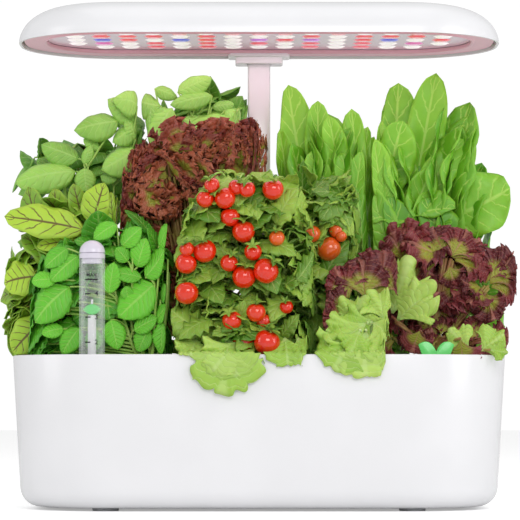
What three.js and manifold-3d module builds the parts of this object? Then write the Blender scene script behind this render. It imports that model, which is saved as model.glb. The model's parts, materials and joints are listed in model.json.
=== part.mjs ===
// A countertop hydroponic garden: a water tank on four feet, a lift-off grow deck with eleven net
// baskets and their plants, a water level gauge, a fill cap with a sprout handle, a pump, and an LED
// lamp on a telescopic post. Millimetres, +Z up, the counter is z = 0, the front faces -Y.
import * as THREE from "three";
import { mergeVertices } from "three/addons/utils/BufferGeometryUtils.js";
import Module from "manifold-3d";

const wasm = await Module();
wasm.setup();
const { Manifold, Mesh } = wasm;

// Clearances
const SEAT_GAP = 0.3; // between two pieces where one rests on or fits into the other
const SLIDE_GAP = 0.5; // around a piece that slides in another
const OVERRUN = 2; // how far a cutter runs past what it cuts
const BITE = 0.6; // how deep a joined piece is sunk into the piece that carries it

// Facets
const CORNER_STEPS = 7; // steps in each corner of a rounded rectangle
const SMALL_CORNER_STEPS = 2; // the same on a small tube or block
const NET_SIDES = 10; // sides of a basket and of its seat in the deck
const ROUND_SIDES = 12; // sides of a small round piece

// Driving sizes
const FOOT = { radius: 10.5, height: 1.9, fromSide: 78, fromFront: 34, bevel: 0.5, sides: 12 };
const TANK = {
  width: 400,
  depth: 190,
  height: 121.8,
  cornerRadius: 82,
  wall: 2.5,
  floor: 3,
  draft: THREE.MathUtils.degToRad(3.4),
  bottomRadius: 16,
  bottomSteps: 3,
  rimRound: 0.8,
  ledgeDrop: 12,
  ledgeWidth: 3,
  ledgeHeight: 5,
};
const DECK = { thickness: 2.4, lipThickness: 2, lipBelowRim: 1.6, sideGap: 0.6 };
const BASKET = {
  flangeRadius: 21.5,
  flangeThickness: 1.6,
  mouthRadius: 16.6,
  endRadius: 12.4,
  wall: 1.3,
  depth: 44,
  slotWidth: 4.5,
  slotFromTop: 12,
};
const SEAT = { height: 2, width: 2.6 };
const SPONGE = { belowFlange: 0.8, rootRadius: 4, sides: 6 };
const ROW = { pitch: 46, backFromBack: 51, wideHalf: 140, closeHalf: 51, frontHalf: 88 };
const GAUGE = {
  radius: 10.3,
  wall: 1.6,
  top: 200,
  bottom: 19,
  fromSide: 67.4,
  fromFront: 23,
  collarHeight: 3,
  collarWidth: 3,
  lip: 2.2,
  lipHeight: 1.5,
};
const GAUGE_CAP = { bandHeight: 4.6, domeHeight: 10, plugDepth: 4, wall: 1.4, domeSteps: 3 };
const FLOAT = {
  pointerZ: 159.8,
  pointerWidth: 14.6,
  pointerHeight: 8.7,
  pointerThickness: 3.8,
  stemRadius: 3.4,
  sideGap: 0.5,
  bodyTop: 80,
  bodyHeight: 18,
  pinRadius: 0.9,
  pinHeight: 4,
  leafSteps: 5,
};
const FILL = {
  fromSide: 59.2,
  fromFront: 27,
  holeRadius: 12,
  collarWidth: 1.8,
  collarHeight: 1.6,
  capThickness: 2,
  capOut: 2.4,
  plugDepth: 8,
  slotDepth: 1.5,
};
const SPROUT = {
  baseWidth: 19,
  tipWidth: 28.6,
  top: 134.4,
  notchDepth: 8,
  thickness: 5,
  tabWidth: 9,
  tipDropShare: 0.3,
  crestShare: 0.62,
  innerShare: 0.2,
  steps: 6,
};
const POST = {
  width: 19,
  depth: 13,
  cornerRadius: 2.5,
  wall: 1.6,
  fromBack: 21,
  bottom: 92,
  intoHead: 7,
};
const SLEEVE = {
  wall: 2,
  top: 236,
  collarHeight: 9,
  collarOut: 1.6,
  intoHousing: 56,
  lidThickness: 2,
};
const HOUSING = { width: 56, wall: 2.2, frontFromPost: 21, aboveDeck: 2 };
const BOARD = {
  width: 48,
  height: 46,
  thickness: 1.6,
  fromFloor: 8,
  chipWidth: 12,
  chipHeight: 9,
  chipDepth: 3,
  plugWidth: 9,
  plugDepth: 5,
};
const SOCKET = {
  radius: 5.2,
  flangeRadius: 7.4,
  flangeThickness: 1.6,
  depth: 14,
  boreRadius: 3.3,
  boreDepth: 9,
  pinRadius: 1,
  pinLength: 8,
  height: 30,
};
const PUMP = {
  width: 44,
  depth: 26,
  height: 38,
  x: 98,
  y: 44,
  chamberRadius: 13,
  chamberDepth: 12,
  shaftRadius: 1.3,
  cornerRadius: 5,
  spoutRadius: 2.8,
  spoutBore: 1.7,
  spoutHeight: 6,
};
const INLET = { thickness: 3, slots: 5, slotWidth: 2.2, slotHeight: 24, slotPitch: 5 };
const IMPELLER = { radius: 11, hubRadius: 4, blades: 5, bladeThickness: 1.6, length: 9 };
const RISER = { radius: 4.6, length: 64 };
const LAMP = {
  width: 393,
  depth: 182,
  rim: 379,
  height: 29,
  cornerRadius: 82,
  shoulder: 40,
  shoulderSteps: 5,
  wall: 2,
  recess: 2,
};
const BEZEL = { thickness: 2, lip: 1.6, lipHeight: 6 };
const PANEL = { width: 347, depth: 130, cornerRadius: 58, forward: 5, thickness: 1.5, overlap: 4 };
const LED = {
  pitchX: 21.4,
  pitchY: 22.4,
  columns: 15,
  rows: 5,
  radius: 8,
  topRadius: 5.6,
  rise: 1.3,
  sides: 5,
};
const LED_BOARD = { inset: 6, thickness: 1.6 };
const HEAD = {
  width: 52,
  depth: 28,
  plateThickness: 3,
  blockWidth: 40,
  blockDepth: 24,
  blockHeight: 5.8,
  cornerRadius: 3,
};
const BUTTON = { radius: 6.5, flangeOut: 1.8, flangeThickness: 1.5, proud: 1.3, back: 34, side: 0 };
const PLANT = {
  sliver: 0.06,
  spread: 100,
  tall: 240,
  middling: 200,
  rootRadius: 3,
  rootDepth: 12,
  stemRadius: 3,
  stemSides: 5,
  petioleHalf: 1,
  leafThickness: 1.6,
  squeeze: 4,
  gap: 1,
  overSide: 16,
  overFront: 10,
  overBack: 8,
};
const SPLIT = {
  sorrelRight: 28,
  frillyRight: 57,
  redLeft: 55,
  mintLeft: 102,
  mintRight: 18,
  greenLeft: 38,
  greenRight: 22,
  hangX: 60,
  hangY: 22,
  innerX: 34,
};
const TOMATO = { sides: 6, rings: 3, stalk: 1.1, stalkSides: 3 };


// Places that follow from the sizes
const underside = FOOT.height + SEAT_GAP;
const rim = underside + TANK.height;
const halfWidth = TANK.width / 2;
const halfDepth = TANK.depth / 2;
const draftAt = (z) => (rim - z) * Math.tan(TANK.draft);
const ledge = rim - TANK.ledgeDrop;
const deckBottom = ledge + SEAT_GAP;
const deckTop = deckBottom + DECK.thickness;
const deckInset = draftAt(ledge) + TANK.wall + DECK.sideGap;
const seatTop = deckTop + SEAT.height;
const flangeBottom = seatTop + SEAT_GAP;
const flangeTop = flangeBottom + BASKET.flangeThickness;
const crown = flangeTop - SPONGE.belowFlange;
const tankFloor = underside + TANK.floor;
const insideFloor = tankFloor + SEAT_GAP;
const postY = halfDepth - POST.fromBack;
const bezelBottom = LAMP.rim + LAMP.recess;
const bezelTop = bezelBottom + BEZEL.thickness;
const headTop = bezelBottom - SEAT_GAP;
const headPlateBottom = headTop - HEAD.plateThickness;
const headBottom = headPlateBottom - HEAD.blockHeight;
const gauge = [GAUGE.fromSide - halfWidth, GAUGE.fromFront - halfDepth];
const fill = [halfWidth - FILL.fromSide, FILL.fromFront - halfDepth];
const backRow = halfDepth - ROW.backFromBack;
const middleRow = backRow - ROW.pitch;
const frontRow = middleRow - ROW.pitch;

const material = (color, roughness, metalness = 0) =>
  new THREE.MeshStandardMaterial({ color, roughness, metalness });
const WHITE = material(0xf4f4f5, 0.28);
const WARM_WHITE = material(0xeeecef, 0.35);
const PINK_WHITE = material(0xe9c3cc, 0.4);
const CLEAR = material(0xdfe8ea, 0.08);
const GREY_RUBBER = material(0xb9bcc0, 0.8);
const LEAF_GREEN = material(0x5fd465, 0.4);
const BLACK = material(0x1c1d20, 0.5);
const BOARD_GREEN = material(0x1f6b45, 0.5);
const METAL = material(0xc8ccd0, 0.35, 0.9);
const FOAM = material(0xf3f2ee, 0.9);
const BASKET_WHITE = material(0xe9ebec, 0.45);
const BASIL_GREEN = material(0x6dab3a, 0.5);
const SPINACH_GREEN = material(0x7cc51f, 0.45);
const SORREL_GREEN = material(0x8fb832, 0.5);
const MINT_GREEN = material(0x4fb733, 0.5);
const RED_LETTUCE = material(0x6d2b33, 0.6);
const GREEN_LETTUCE = material(0xa2c85a, 0.5);
const TOMATO_RED = material(0xc9281c, 0.3);

const garden = new THREE.Group();

// Helpers: meshes, solids and joined or cut pieces

// A closed geometry from points and triangles, turned to face outwards.
function closedGeometry(points, triangles) {
  const flat = [];
  let sixVolumes = 0;
  for (const [a, b, c] of triangles) {
    sixVolumes += points[a].dot(new THREE.Vector3().crossVectors(points[b], points[c]));
  }
  for (const [a, b, c] of triangles) {
    const order = sixVolumes > 0 ? [a, b, c] : [a, c, b];
    for (const k of order) flat.push(points[k].x, points[k].y, points[k].z);
  }
  const geometry = new THREE.BufferGeometry();
  geometry.setAttribute("position", new THREE.Float32BufferAttribute(flat, 3));
  return geometry;
}

// Rings of equal length joined in order; the first and last rings are capped flat. Where mirrored
// is set, every second side is split along its other diagonal, so the two faces of a thin blade
// run side by side.
function loft(rings, mirrored = false) {
  const count = rings[0].length;
  const points = rings.flat();
  const triangles = [];
  for (let level = 0; level + 1 < rings.length; level++) {
    for (let k = 0; k < count; k++) {
      const a = level * count + k;
      const b = level * count + ((k + 1) % count);
      if (mirrored && k % 2) triangles.push([a, b, a + count], [b, b + count, a + count]);
      else triangles.push([a, b, b + count], [a, b + count, a + count]);
    }
  }
  const last = (rings.length - 1) * count;
  for (let k = 1; k + 1 < count; k++) {
    triangles.push([0, k + 1, k], [last, last + k, last + k + 1]);
  }
  return closedGeometry(points, triangles);
}

// The outline of a rounded rectangle, anticlockwise, as 2-D points.
function roundedOutline(width, depth, radius, steps = CORNER_STEPS, centre = [0, 0]) {
  const outline = [];
  const corners = [
    [1, 1],
    [-1, 1],
    [-1, -1],
    [1, -1],
  ];
  corners.forEach(([sx, sy], quarter) => {
    for (let k = 0; k <= steps; k++) {
      const angle = ((quarter + k / steps) * Math.PI) / 2;
      outline.push(
        new THREE.Vector2(
          centre[0] + sx * (width / 2 - radius) + radius * Math.cos(angle),
          centre[1] + sy * (depth / 2 - radius) + radius * Math.sin(angle),
        ),
      );
    }
  });
  return outline;
}

const atHeight = (outline, z) => outline.map((p) => new THREE.Vector3(p.x, p.y, z));

// A level of a drafted rounded box, drawn in by inset all round.
function boxRing(size, inset, z) {
  const outline = roundedOutline(
    size.width - 2 * inset,
    size.depth - 2 * inset,
    size.cornerRadius - inset,
  );
  return atHeight(outline, z);
}

function polygon(x, y, radius, sides) {
  const outline = [];
  for (let k = 0; k < sides; k++) {
    const angle = (2 * Math.PI * k) / sides;
    outline.push(new THREE.Vector2(x + radius * Math.cos(angle), y + radius * Math.sin(angle)));
  }
  return outline;
}

// An outline, with holes if any, raised from z to z + height.
function prism(outline, z, height, holes = []) {
  const shape = new THREE.Shape(outline);
  for (const hole of holes) shape.holes.push(new THREE.Path(hole));
  const geometry = new THREE.ExtrudeGeometry(shape, { depth: height, bevelEnabled: false });
  return geometry.translate(0, 0, z);
}

// A profile of [radius, height] pairs turned about a vertical axis at x, y.
function turned(profile, sides, x = 0, y = 0) {
  const points = profile.map(([r, z]) => new THREE.Vector2(r, z));
  const lathe = new THREE.LatheGeometry(points, sides, Math.PI / 2);
  return lathe.rotateX(Math.PI / 2).translate(x, y, 0);
}

function solid(geometry) {
  const bare = geometry.index ? geometry.toNonIndexed() : geometry.clone();
  for (const name of Object.keys(bare.attributes)) {
    if (name !== "position") bare.deleteAttribute(name);
  }
  const merged = mergeVertices(bare, 1e-3);
  const corner = merged.index.array;
  const triVerts = [];
  for (let k = 0; k < corner.length; k += 3) {
    const [a, b, c] = [corner[k], corner[k + 1], corner[k + 2]];
    if (a !== b && b !== c && c !== a) triVerts.push(a, b, c);
  }
  const made = new Manifold(
    new Mesh({
      numProp: 3,
      vertProperties: merged.attributes.position.array,
      triVerts: new Uint32Array(triVerts),
    }),
  );
  if (made.volume() > 0) return made;
  for (let k = 0; k < triVerts.length; k += 3) {
    [triVerts[k + 1], triVerts[k + 2]] = [triVerts[k + 2], triVerts[k + 1]];
  }
  return new Manifold(
    new Mesh({
      numProp: 3,
      vertProperties: merged.attributes.position.array,
      triVerts: new Uint32Array(triVerts),
    }),
  );
}

function geometryOf(body) {
  const mesh = body.getMesh();
  const geometry = new THREE.BufferGeometry();
  const positions = new Float32Array(mesh.numVert * 3);
  for (let k = 0; k < mesh.numVert; k++) {
    positions.set(mesh.vertProperties.subarray(k * mesh.numProp, k * mesh.numProp + 3), 3 * k);
  }
  geometry.setAttribute("position", new THREE.BufferAttribute(positions, 3));
  geometry.setIndex(new THREE.BufferAttribute(mesh.triVerts, 1));
  return geometry;
}

const join = (...geometries) => geometries.map(solid).reduce((a, b) => a.add(b));
const cut = (body, ...geometries) => geometries.map(solid).reduce((a, b) => a.subtract(b), body);

// The largest of the separate bodies of a solid, without the slivers where its pieces meet and
// without any hollow sealed inside it.
function largest(body) {
  const merged = solid(geometryOf(body.asOriginal().simplify(PLANT.sliver)));
  return merged.decompose().reduce((a, b) => (b.volume() > a.volume() ? b : a));
}

function add(name, shape, look) {
  const geometry = shape.isBufferGeometry ? shape : geometryOf(shape);
  const mesh = new THREE.Mesh(geometry, look);
  mesh.name = name;
  garden.add(mesh);
  return mesh;
}

// Water tank: a drafted tub with a rolled rim, a ledge for the deck and a hole for the socket

const shellRing = (size, inset, z) => boxRing(size, inset, z);

// Levels of a rounded bottom edge, from the flat bottom up to the wall.
function bottomRings(bottom, radius, inset) {
  const rings = [];
  for (let k = 0; k <= TANK.bottomSteps; k++) {
    const angle = (k / TANK.bottomSteps) * (Math.PI / 2);
    const z = bottom + radius * (1 - Math.cos(angle));
    rings.push(shellRing(TANK, draftAt(z) + inset + radius * (1 - Math.sin(angle)), z));
  }
  return rings;
}

function tankShape() {
  const outside = bottomRings(underside, TANK.bottomRadius, 0);
  const inside = bottomRings(tankFloor, TANK.bottomRadius - TANK.wall, TANK.wall).reverse();
  const innerAt = (z, out = 0) => shellRing(TANK, draftAt(z) + TANK.wall + out, z);
  return loft([
    ...outside,
    shellRing(TANK, draftAt(rim - TANK.rimRound), rim - TANK.rimRound),
    shellRing(TANK, TANK.rimRound, rim),
    shellRing(TANK, TANK.wall - TANK.rimRound, rim),
    innerAt(rim - TANK.rimRound),
    innerAt(ledge),
    innerAt(ledge, TANK.ledgeWidth),
    innerAt(ledge - TANK.ledgeHeight),
    ...inside,
  ]);
}

// A cylinder lying along Y between two places, for the socket, the pump and their holes.
function lying(radius, from, to, x, z, sides = ROUND_SIDES) {
  const length = to - from;
  const rod = new THREE.CylinderGeometry(radius, radius, length, sides);
  return rod.translate(x, from + length / 2, z);
}

const socketZ = tankFloor + SOCKET.height;
const wallOut = halfDepth - draftAt(socketZ); // the outside of the back wall behind the socket
const flangeLean = SOCKET.flangeRadius * Math.tan(TANK.draft);
const flangeFront = wallOut + flangeLean + SEAT_GAP;
const socketFront = flangeFront + SOCKET.flangeThickness - SOCKET.depth;
const socketHole = (from, to) =>
  lying(SOCKET.radius + SEAT_GAP, from - OVERRUN, to + OVERRUN, 0, socketZ);

const tankSolid = solid(tankShape());
add("water_tank", cut(tankSolid, socketHole(socketFront, flangeFront)), WHITE);

// Feet

function foot(name, sx, sy) {
  const x = sx * (halfWidth - FOOT.fromSide);
  const y = sy * (halfDepth - FOOT.fromFront);
  const profile = [
    [0, 0],
    [FOOT.radius - FOOT.bevel, 0],
    [FOOT.radius, FOOT.bevel],
    [FOOT.radius, FOOT.height],
    [0, FOOT.height],
  ];
  add(name, turned(profile, FOOT.sides, x, y), GREY_RUBBER);
}
foot("foot_front_left", -1, -1);
foot("foot_front_right", 1, -1);
foot("foot_back_left", -1, 1);
foot("foot_back_right", 1, 1);

// Dry housing at the back of the tank, with the control board and the power socket

const housingTop = deckTop + HOUSING.aboveDeck;
const housingFront = postY - HOUSING.frontFromPost;
const housingBack = halfDepth - draftAt(underside + TANK.bottomRadius) - TANK.wall - SEAT_GAP;
const housingHeel = TANK.bottomRadius; // slope that clears the rounded bottom of the tank

// A side profile of [y, z] points carried across the width, centred on x = 0.
function acrossWidth(profile, width) {
  const rings = [-width / 2, width / 2].map((x) =>
    profile.map(([y, z]) => new THREE.Vector3(x, y, z)),
  );
  return loft(rings);
}

function housingProfile(inset, top) {
  const heel = housingHeel - inset * (2 - Math.SQRT2);
  const front = housingFront + inset;
  const back = housingBack - inset;
  const bottom = insideFloor + inset;
  return [
    [front, bottom],
    [back - heel, bottom],
    [back, bottom + heel],
    [back, top],
    [front, top],
  ];
}
const housingOuter = acrossWidth(housingProfile(0, housingTop), HOUSING.width);
const housingCavity = acrossWidth(
  housingProfile(HOUSING.wall, housingTop + OVERRUN),
  HOUSING.width - 2 * HOUSING.wall,
);
add(
  "rear_housing",
  cut(solid(housingOuter), housingCavity, socketHole(socketFront, housingBack)),
  WARM_WHITE,
);

function block(width, depth, height, x, y, z) {
  return new THREE.BoxGeometry(width, depth, height).translate(x, y, z + height / 2);
}

const boardFront = housingFront + HOUSING.wall + SEAT_GAP;
const boardBottom = insideFloor + HOUSING.wall + BOARD.fromFloor;
const boardBack = boardFront + BOARD.thickness;
const chipSeat = boardBack - BITE;
add(
  "control_board",
  join(
    block(
      BOARD.width,
      BOARD.thickness,
      BOARD.height,
      0,
      boardFront + BOARD.thickness / 2,
      boardBottom,
    ),
    block(
      BOARD.chipWidth,
      BOARD.chipDepth + BITE,
      BOARD.chipHeight,
      0,
      chipSeat + (BOARD.chipDepth + BITE) / 2,
      boardBottom + BOARD.height / 2,
    ),
    ...[-1, 1].map((side) =>
      block(
        BOARD.plugWidth,
        BOARD.plugDepth + BITE,
        BOARD.plugWidth,
        side * (BOARD.width / 2 - BOARD.plugWidth),
        chipSeat + (BOARD.plugDepth + BITE) / 2,
        boardBottom + BOARD.plugWidth,
      ),
    ),
  ),
  BOARD_GREEN,
);

const socketBack = flangeFront + SOCKET.flangeThickness;
const boreEnd = socketBack - SOCKET.boreDepth;
const socketBody = cut(
  join(
    lying(SOCKET.radius, socketFront, socketBack, 0, socketZ),
    lying(SOCKET.flangeRadius, flangeFront, socketBack, 0, socketZ),
  ),
  lying(SOCKET.boreRadius, boreEnd, socketBack + OVERRUN, 0, socketZ),
);
add(
  "power_socket",
  socketBody.add(
    solid(
      lying(
        SOCKET.pinRadius,
        boreEnd - BITE,
        boreEnd + SOCKET.pinLength,
        0,
        socketZ,
        SMALL_CORNER_STEPS * 3,
      ),
    ),
  ),
  BLACK,
);

// Telescopic post: the outer sleeve, whose plate closes the dry housing, and the sliding tube

const postOutline = (grow) =>
  roundedOutline(
    POST.width + 2 * grow,
    POST.depth + 2 * grow,
    POST.cornerRadius + grow,
    SMALL_CORNER_STEPS,
    [0, postY],
  );
const sleeveBore = SLIDE_GAP;
const sleeveOut = SLIDE_GAP + SLEEVE.wall;
const lidBottom = housingTop + SEAT_GAP;
const sleeveBottom = lidBottom - SLEEVE.intoHousing;
const housingDepth = housingBack - housingFront;
add(
  "post_sleeve",
  cut(
    join(
      prism(postOutline(sleeveOut), sleeveBottom, SLEEVE.top - sleeveBottom),
      prism(
        postOutline(sleeveOut + SLEEVE.collarOut),
        SLEEVE.top - SLEEVE.collarHeight,
        SLEEVE.collarHeight,
      ),
      block(
        HOUSING.width,
        housingDepth,
        SLEEVE.lidThickness,
        0,
        housingFront + housingDepth / 2,
        lidBottom,
      ),
    ),
    prism(
      postOutline(sleeveBore),
      sleeveBottom - OVERRUN,
      SLEEVE.top - sleeveBottom + 2 * OVERRUN,
    ),
  ),
  WHITE,
);

const postTop = headBottom + POST.intoHead;
add(
  "post_tube",
  prism(postOutline(0), POST.bottom, postTop - POST.bottom, [postOutline(-POST.wall)]),
  WHITE,
);

add(
  "post_head",
  cut(
    join(
      prism(
        roundedOutline(HEAD.width, HEAD.depth, HEAD.cornerRadius, SMALL_CORNER_STEPS, [0, postY]),
        headPlateBottom,
        HEAD.plateThickness,
      ),
      prism(
        roundedOutline(HEAD.blockWidth, HEAD.blockDepth, HEAD.cornerRadius, SMALL_CORNER_STEPS, [
          0,
          postY,
        ]),
        headBottom,
        HEAD.blockHeight + BITE,
      ),
    ),
    prism(postOutline(SEAT_GAP), headBottom - OVERRUN, POST.intoHead + SEAT_GAP + OVERRUN),
  ),
  WHITE,
);

// Lamp: a domed shell, the frame that closes it below, the lens panel and the LED board

function domeRings(inset, height) {
  const rings = [];
  for (let k = 0; k <= LAMP.shoulderSteps; k++) {
    const angle = (k / LAMP.shoulderSteps) * (Math.PI / 2);
    const drawnIn = inset + LAMP.shoulder * (1 - Math.cos(angle));
    rings.push(boxRing(LAMP, drawnIn, LAMP.rim + height * Math.sin(angle)));
  }
  return rings;
}
const buttonY = LAMP.depth / 2 - LAMP.shoulder - BUTTON.back / 2;
const lampTop = LAMP.rim + LAMP.height;
const shell = loft([
  ...domeRings(0, LAMP.height).reverse(),
  ...domeRings(LAMP.wall, LAMP.height - LAMP.wall),
]);
const buttonHole = polygon(BUTTON.side, buttonY, BUTTON.radius + SEAT_GAP, ROUND_SIDES);
add(
  "lamp_shell",
  cut(
    solid(shell),
    prism(buttonHole, lampTop - LAMP.wall - OVERRUN, LAMP.wall + 2 * OVERRUN),
  ),
  WHITE,
);

const flangeUnder = lampTop - LAMP.wall - SEAT_GAP - BUTTON.flangeThickness;
add(
  "power_button",
  turned(
    [
      [0, flangeUnder],
      [BUTTON.radius + BUTTON.flangeOut, flangeUnder],
      [BUTTON.radius + BUTTON.flangeOut, flangeUnder + BUTTON.flangeThickness],
      [BUTTON.radius, flangeUnder + BUTTON.flangeThickness],
      [BUTTON.radius, lampTop + BUTTON.proud],
      [0, lampTop + BUTTON.proud],
    ],
    ROUND_SIDES,
    BUTTON.side,
    buttonY,
  ),
  WARM_WHITE,
);

const panelCentre = [0, -PANEL.forward];
const panelOutline = (grow) =>
  roundedOutline(
    PANEL.width + 2 * grow,
    PANEL.depth + 2 * grow,
    PANEL.cornerRadius + grow,
    CORNER_STEPS,
    panelCentre,
  );
const bezelOutline = (inset) =>
  roundedOutline(LAMP.width - 2 * inset, LAMP.depth - 2 * inset, LAMP.cornerRadius - inset);
const bezelEdge = LAMP.wall + LAMP.wall + SEAT_GAP;
add(
  "lamp_bezel",
  join(
    prism(bezelOutline(bezelEdge), bezelBottom, BEZEL.thickness, [panelOutline(0)]),
    prism(panelOutline(PANEL.overlap + SEAT_GAP + BEZEL.lip), bezelTop - BITE, BEZEL.lipHeight, [
      panelOutline(PANEL.overlap + SEAT_GAP),
    ]),
  ),
  PINK_WHITE,
);

const panelBottom = bezelTop + SEAT_GAP;
function ledPlaces() {
  const places = [];
  const middleColumn = (LED.columns - 1) / 2;
  const middleRowOfLeds = (LED.rows - 1) / 2;
  for (let column = 0; column < LED.columns; column++) {
    for (let row = 0; row < LED.rows; row++) {
      const atEnd = column === 0 || column === LED.columns - 1;
      const outerRow = row === 0 || row === LED.rows - 1;
      if (atEnd && outerRow) continue;
      places.push([
        (column - middleColumn) * LED.pitchX,
        panelCentre[1] + (row - middleRowOfLeds) * LED.pitchY,
      ]);
    }
  }
  return places;
}

// One lens: a shallow cone frustum whose wide end is sunk into the panel.
function lens([x, y]) {
  const slant = (LED.radius - LED.topRadius) / LED.rise;
  const deep = panelBottom + BITE;
  return loft([
    atHeight(polygon(x, y, LED.topRadius, LED.sides), panelBottom - LED.rise),
    atHeight(polygon(x, y, LED.radius + slant * BITE, LED.sides), deep),
  ]);
}
add(
  "lens_panel",
  join(prism(panelOutline(PANEL.overlap), panelBottom, PANEL.thickness), ...ledPlaces().map(lens)),
  CLEAR,
);
add(
  "led_board",
  prism(
    panelOutline(PANEL.overlap - LED_BOARD.inset),
    panelBottom + PANEL.thickness + SEAT_GAP,
    LED_BOARD.thickness,
  ),
  BOARD_GREEN,
);

// Pump: body with an impeller chamber in front, a slotted cover, the impeller and the riser pipe

const pumpTop = insideFloor + PUMP.height;
const pumpFront = PUMP.y - PUMP.depth / 2;
const chamberZ = insideFloor + PUMP.height / 2;
const chamberEnd = pumpFront + PUMP.chamberDepth;
const pumpCase = cut(
  join(
    prism(
      roundedOutline(PUMP.width, PUMP.depth, PUMP.cornerRadius, SMALL_CORNER_STEPS, [
        PUMP.x,
        PUMP.y,
      ]),
      insideFloor,
      PUMP.height,
    ),
    prism(
      polygon(PUMP.x, PUMP.y, PUMP.spoutRadius, ROUND_SIDES),
      pumpTop - BITE,
      PUMP.spoutHeight + BITE,
    ),
  ),
  lying(PUMP.chamberRadius, pumpFront - OVERRUN, chamberEnd, PUMP.x, chamberZ),
  prism(
    polygon(PUMP.x, PUMP.y - PUMP.spoutRadius / 2, PUMP.spoutBore / 2, SMALL_CORNER_STEPS * 3),
    chamberZ,
    pumpTop + PUMP.spoutHeight + OVERRUN - chamberZ,
  ),
);
add(
  "pump_body",
  pumpCase.add(
    solid(
      lying(
        PUMP.shaftRadius,
        pumpFront + INLET.thickness / 2,
        chamberEnd + BITE,
        PUMP.x,
        chamberZ,
        SMALL_CORNER_STEPS * 4,
      ),
    ),
  ),
  BLACK,
);

const coverBack = pumpFront - SEAT_GAP;
const coverSlots = [];
for (let k = 0; k < INLET.slots; k++) {
  const x = PUMP.x + (k - (INLET.slots - 1) / 2) * INLET.slotPitch;
  coverSlots.push(
    block(
      INLET.slotWidth,
      INLET.thickness + 2 * OVERRUN,
      INLET.slotHeight,
      x,
      coverBack - INLET.thickness / 2,
      chamberZ - INLET.slotHeight / 2,
    ),
  );
}
add(
  "pump_cover",
  cut(
    solid(
      block(
        PUMP.width - 2 * PUMP.cornerRadius,
        INLET.thickness,
        PUMP.height,
        PUMP.x,
        coverBack - INLET.thickness / 2,
        insideFloor,
      ),
    ),
    ...coverSlots,
  ),
  BLACK,
);

const impellerFront = chamberEnd - SEAT_GAP - IMPELLER.length;
const blades = [];
for (let k = 0; k < IMPELLER.blades; k++) {
  const blade = new THREE.BoxGeometry(IMPELLER.radius, IMPELLER.length, IMPELLER.bladeThickness);
  blade.translate(IMPELLER.radius / 2, 0, 0);
  blade.rotateY((2 * Math.PI * k) / IMPELLER.blades);
  blades.push(blade.translate(PUMP.x, impellerFront + IMPELLER.length / 2, chamberZ));
}
const impellerEnd = impellerFront + IMPELLER.length;
add(
  "pump_impeller",
  cut(
    join(lying(IMPELLER.hubRadius, impellerFront, impellerEnd, PUMP.x, chamberZ), ...blades),
    lying(
      PUMP.shaftRadius + SEAT_GAP,
      impellerFront - OVERRUN,
      impellerEnd + OVERRUN,
      PUMP.x,
      chamberZ,
    ),
  ),
  WARM_WHITE,
);

add(
  "riser_pipe",
  prism(polygon(PUMP.x, PUMP.y, RISER.radius, ROUND_SIDES), pumpTop + SEAT_GAP, RISER.length, [
    polygon(PUMP.x, PUMP.y, PUMP.spoutRadius + SEAT_GAP, ROUND_SIDES),
  ]),
  WARM_WHITE,
);

// Grow deck: a tray with a lip, a raised seat round each basket, and the openings of the gauge,
// the fill cap and the dry housing

const PODS = [
  { name: "basil_left", at: [-ROW.wideHalf, backRow] },
  { name: "basil_right", at: [-ROW.closeHalf, backRow] },
  { name: "spinach_left", at: [ROW.closeHalf, backRow] },
  { name: "spinach_right", at: [ROW.wideHalf, backRow] },
  { name: "sorrel", at: [-ROW.wideHalf, middleRow] },
  { name: "frilly_lettuce", at: [-ROW.closeHalf, middleRow] },
  { name: "tomato_right", at: [ROW.closeHalf, middleRow] },
  { name: "red_lettuce", at: [ROW.wideHalf, middleRow] },
  { name: "mint", at: [-ROW.frontHalf, frontRow] },
  { name: "tomato_front", at: [0, frontRow] },
  { name: "green_lettuce", at: [ROW.frontHalf, frontRow] },
];

const seatRadius = BASKET.mouthRadius + SLIDE_GAP;
const deckRing = (inset, z) => boxRing(TANK, deckInset + inset, z);
const lipTop = rim - DECK.lipBelowRim;
const tray = loft([
  deckRing(0, deckBottom),
  deckRing(0, lipTop),
  deckRing(DECK.lipThickness, lipTop),
  deckRing(DECK.lipThickness, deckTop),
]);
const raised = (x, y, radius, height) =>
  prism(polygon(x, y, radius, NET_SIDES), deckTop - BITE, height + BITE);
const holeThrough = (x, y, radius) =>
  prism(polygon(x, y, radius, NET_SIDES), deckBottom - OVERRUN, rim - deckBottom + 2 * OVERRUN);
const housingHole = block(
  HOUSING.width + 2 * SLIDE_GAP,
  housingDepth + 2 * SLIDE_GAP,
  rim - deckBottom + 2 * OVERRUN,
  0,
  housingFront + housingDepth / 2,
  deckBottom - OVERRUN,
);
add(
  "grow_deck",
  cut(
    join(
      tray,
      ...PODS.map(({ at: [x, y] }) => raised(x, y, seatRadius + SEAT.width, SEAT.height)),
      raised(...gauge, GAUGE.radius + SEAT_GAP + GAUGE.collarWidth, GAUGE.collarHeight),
      raised(...fill, FILL.holeRadius + FILL.collarWidth, FILL.collarHeight),
    ),
    ...PODS.map(({ at: [x, y] }) => holeThrough(x, y, seatRadius)),
    holeThrough(...gauge, (GAUGE.radius + SEAT_GAP) / Math.cos(Math.PI / NET_SIDES)),
    holeThrough(...fill, FILL.holeRadius),
    housingHole,
  ),
  WHITE,
);

// Water level gauge: clear tube, cap, and a float whose stem carries a leaf-shaped pointer

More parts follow.
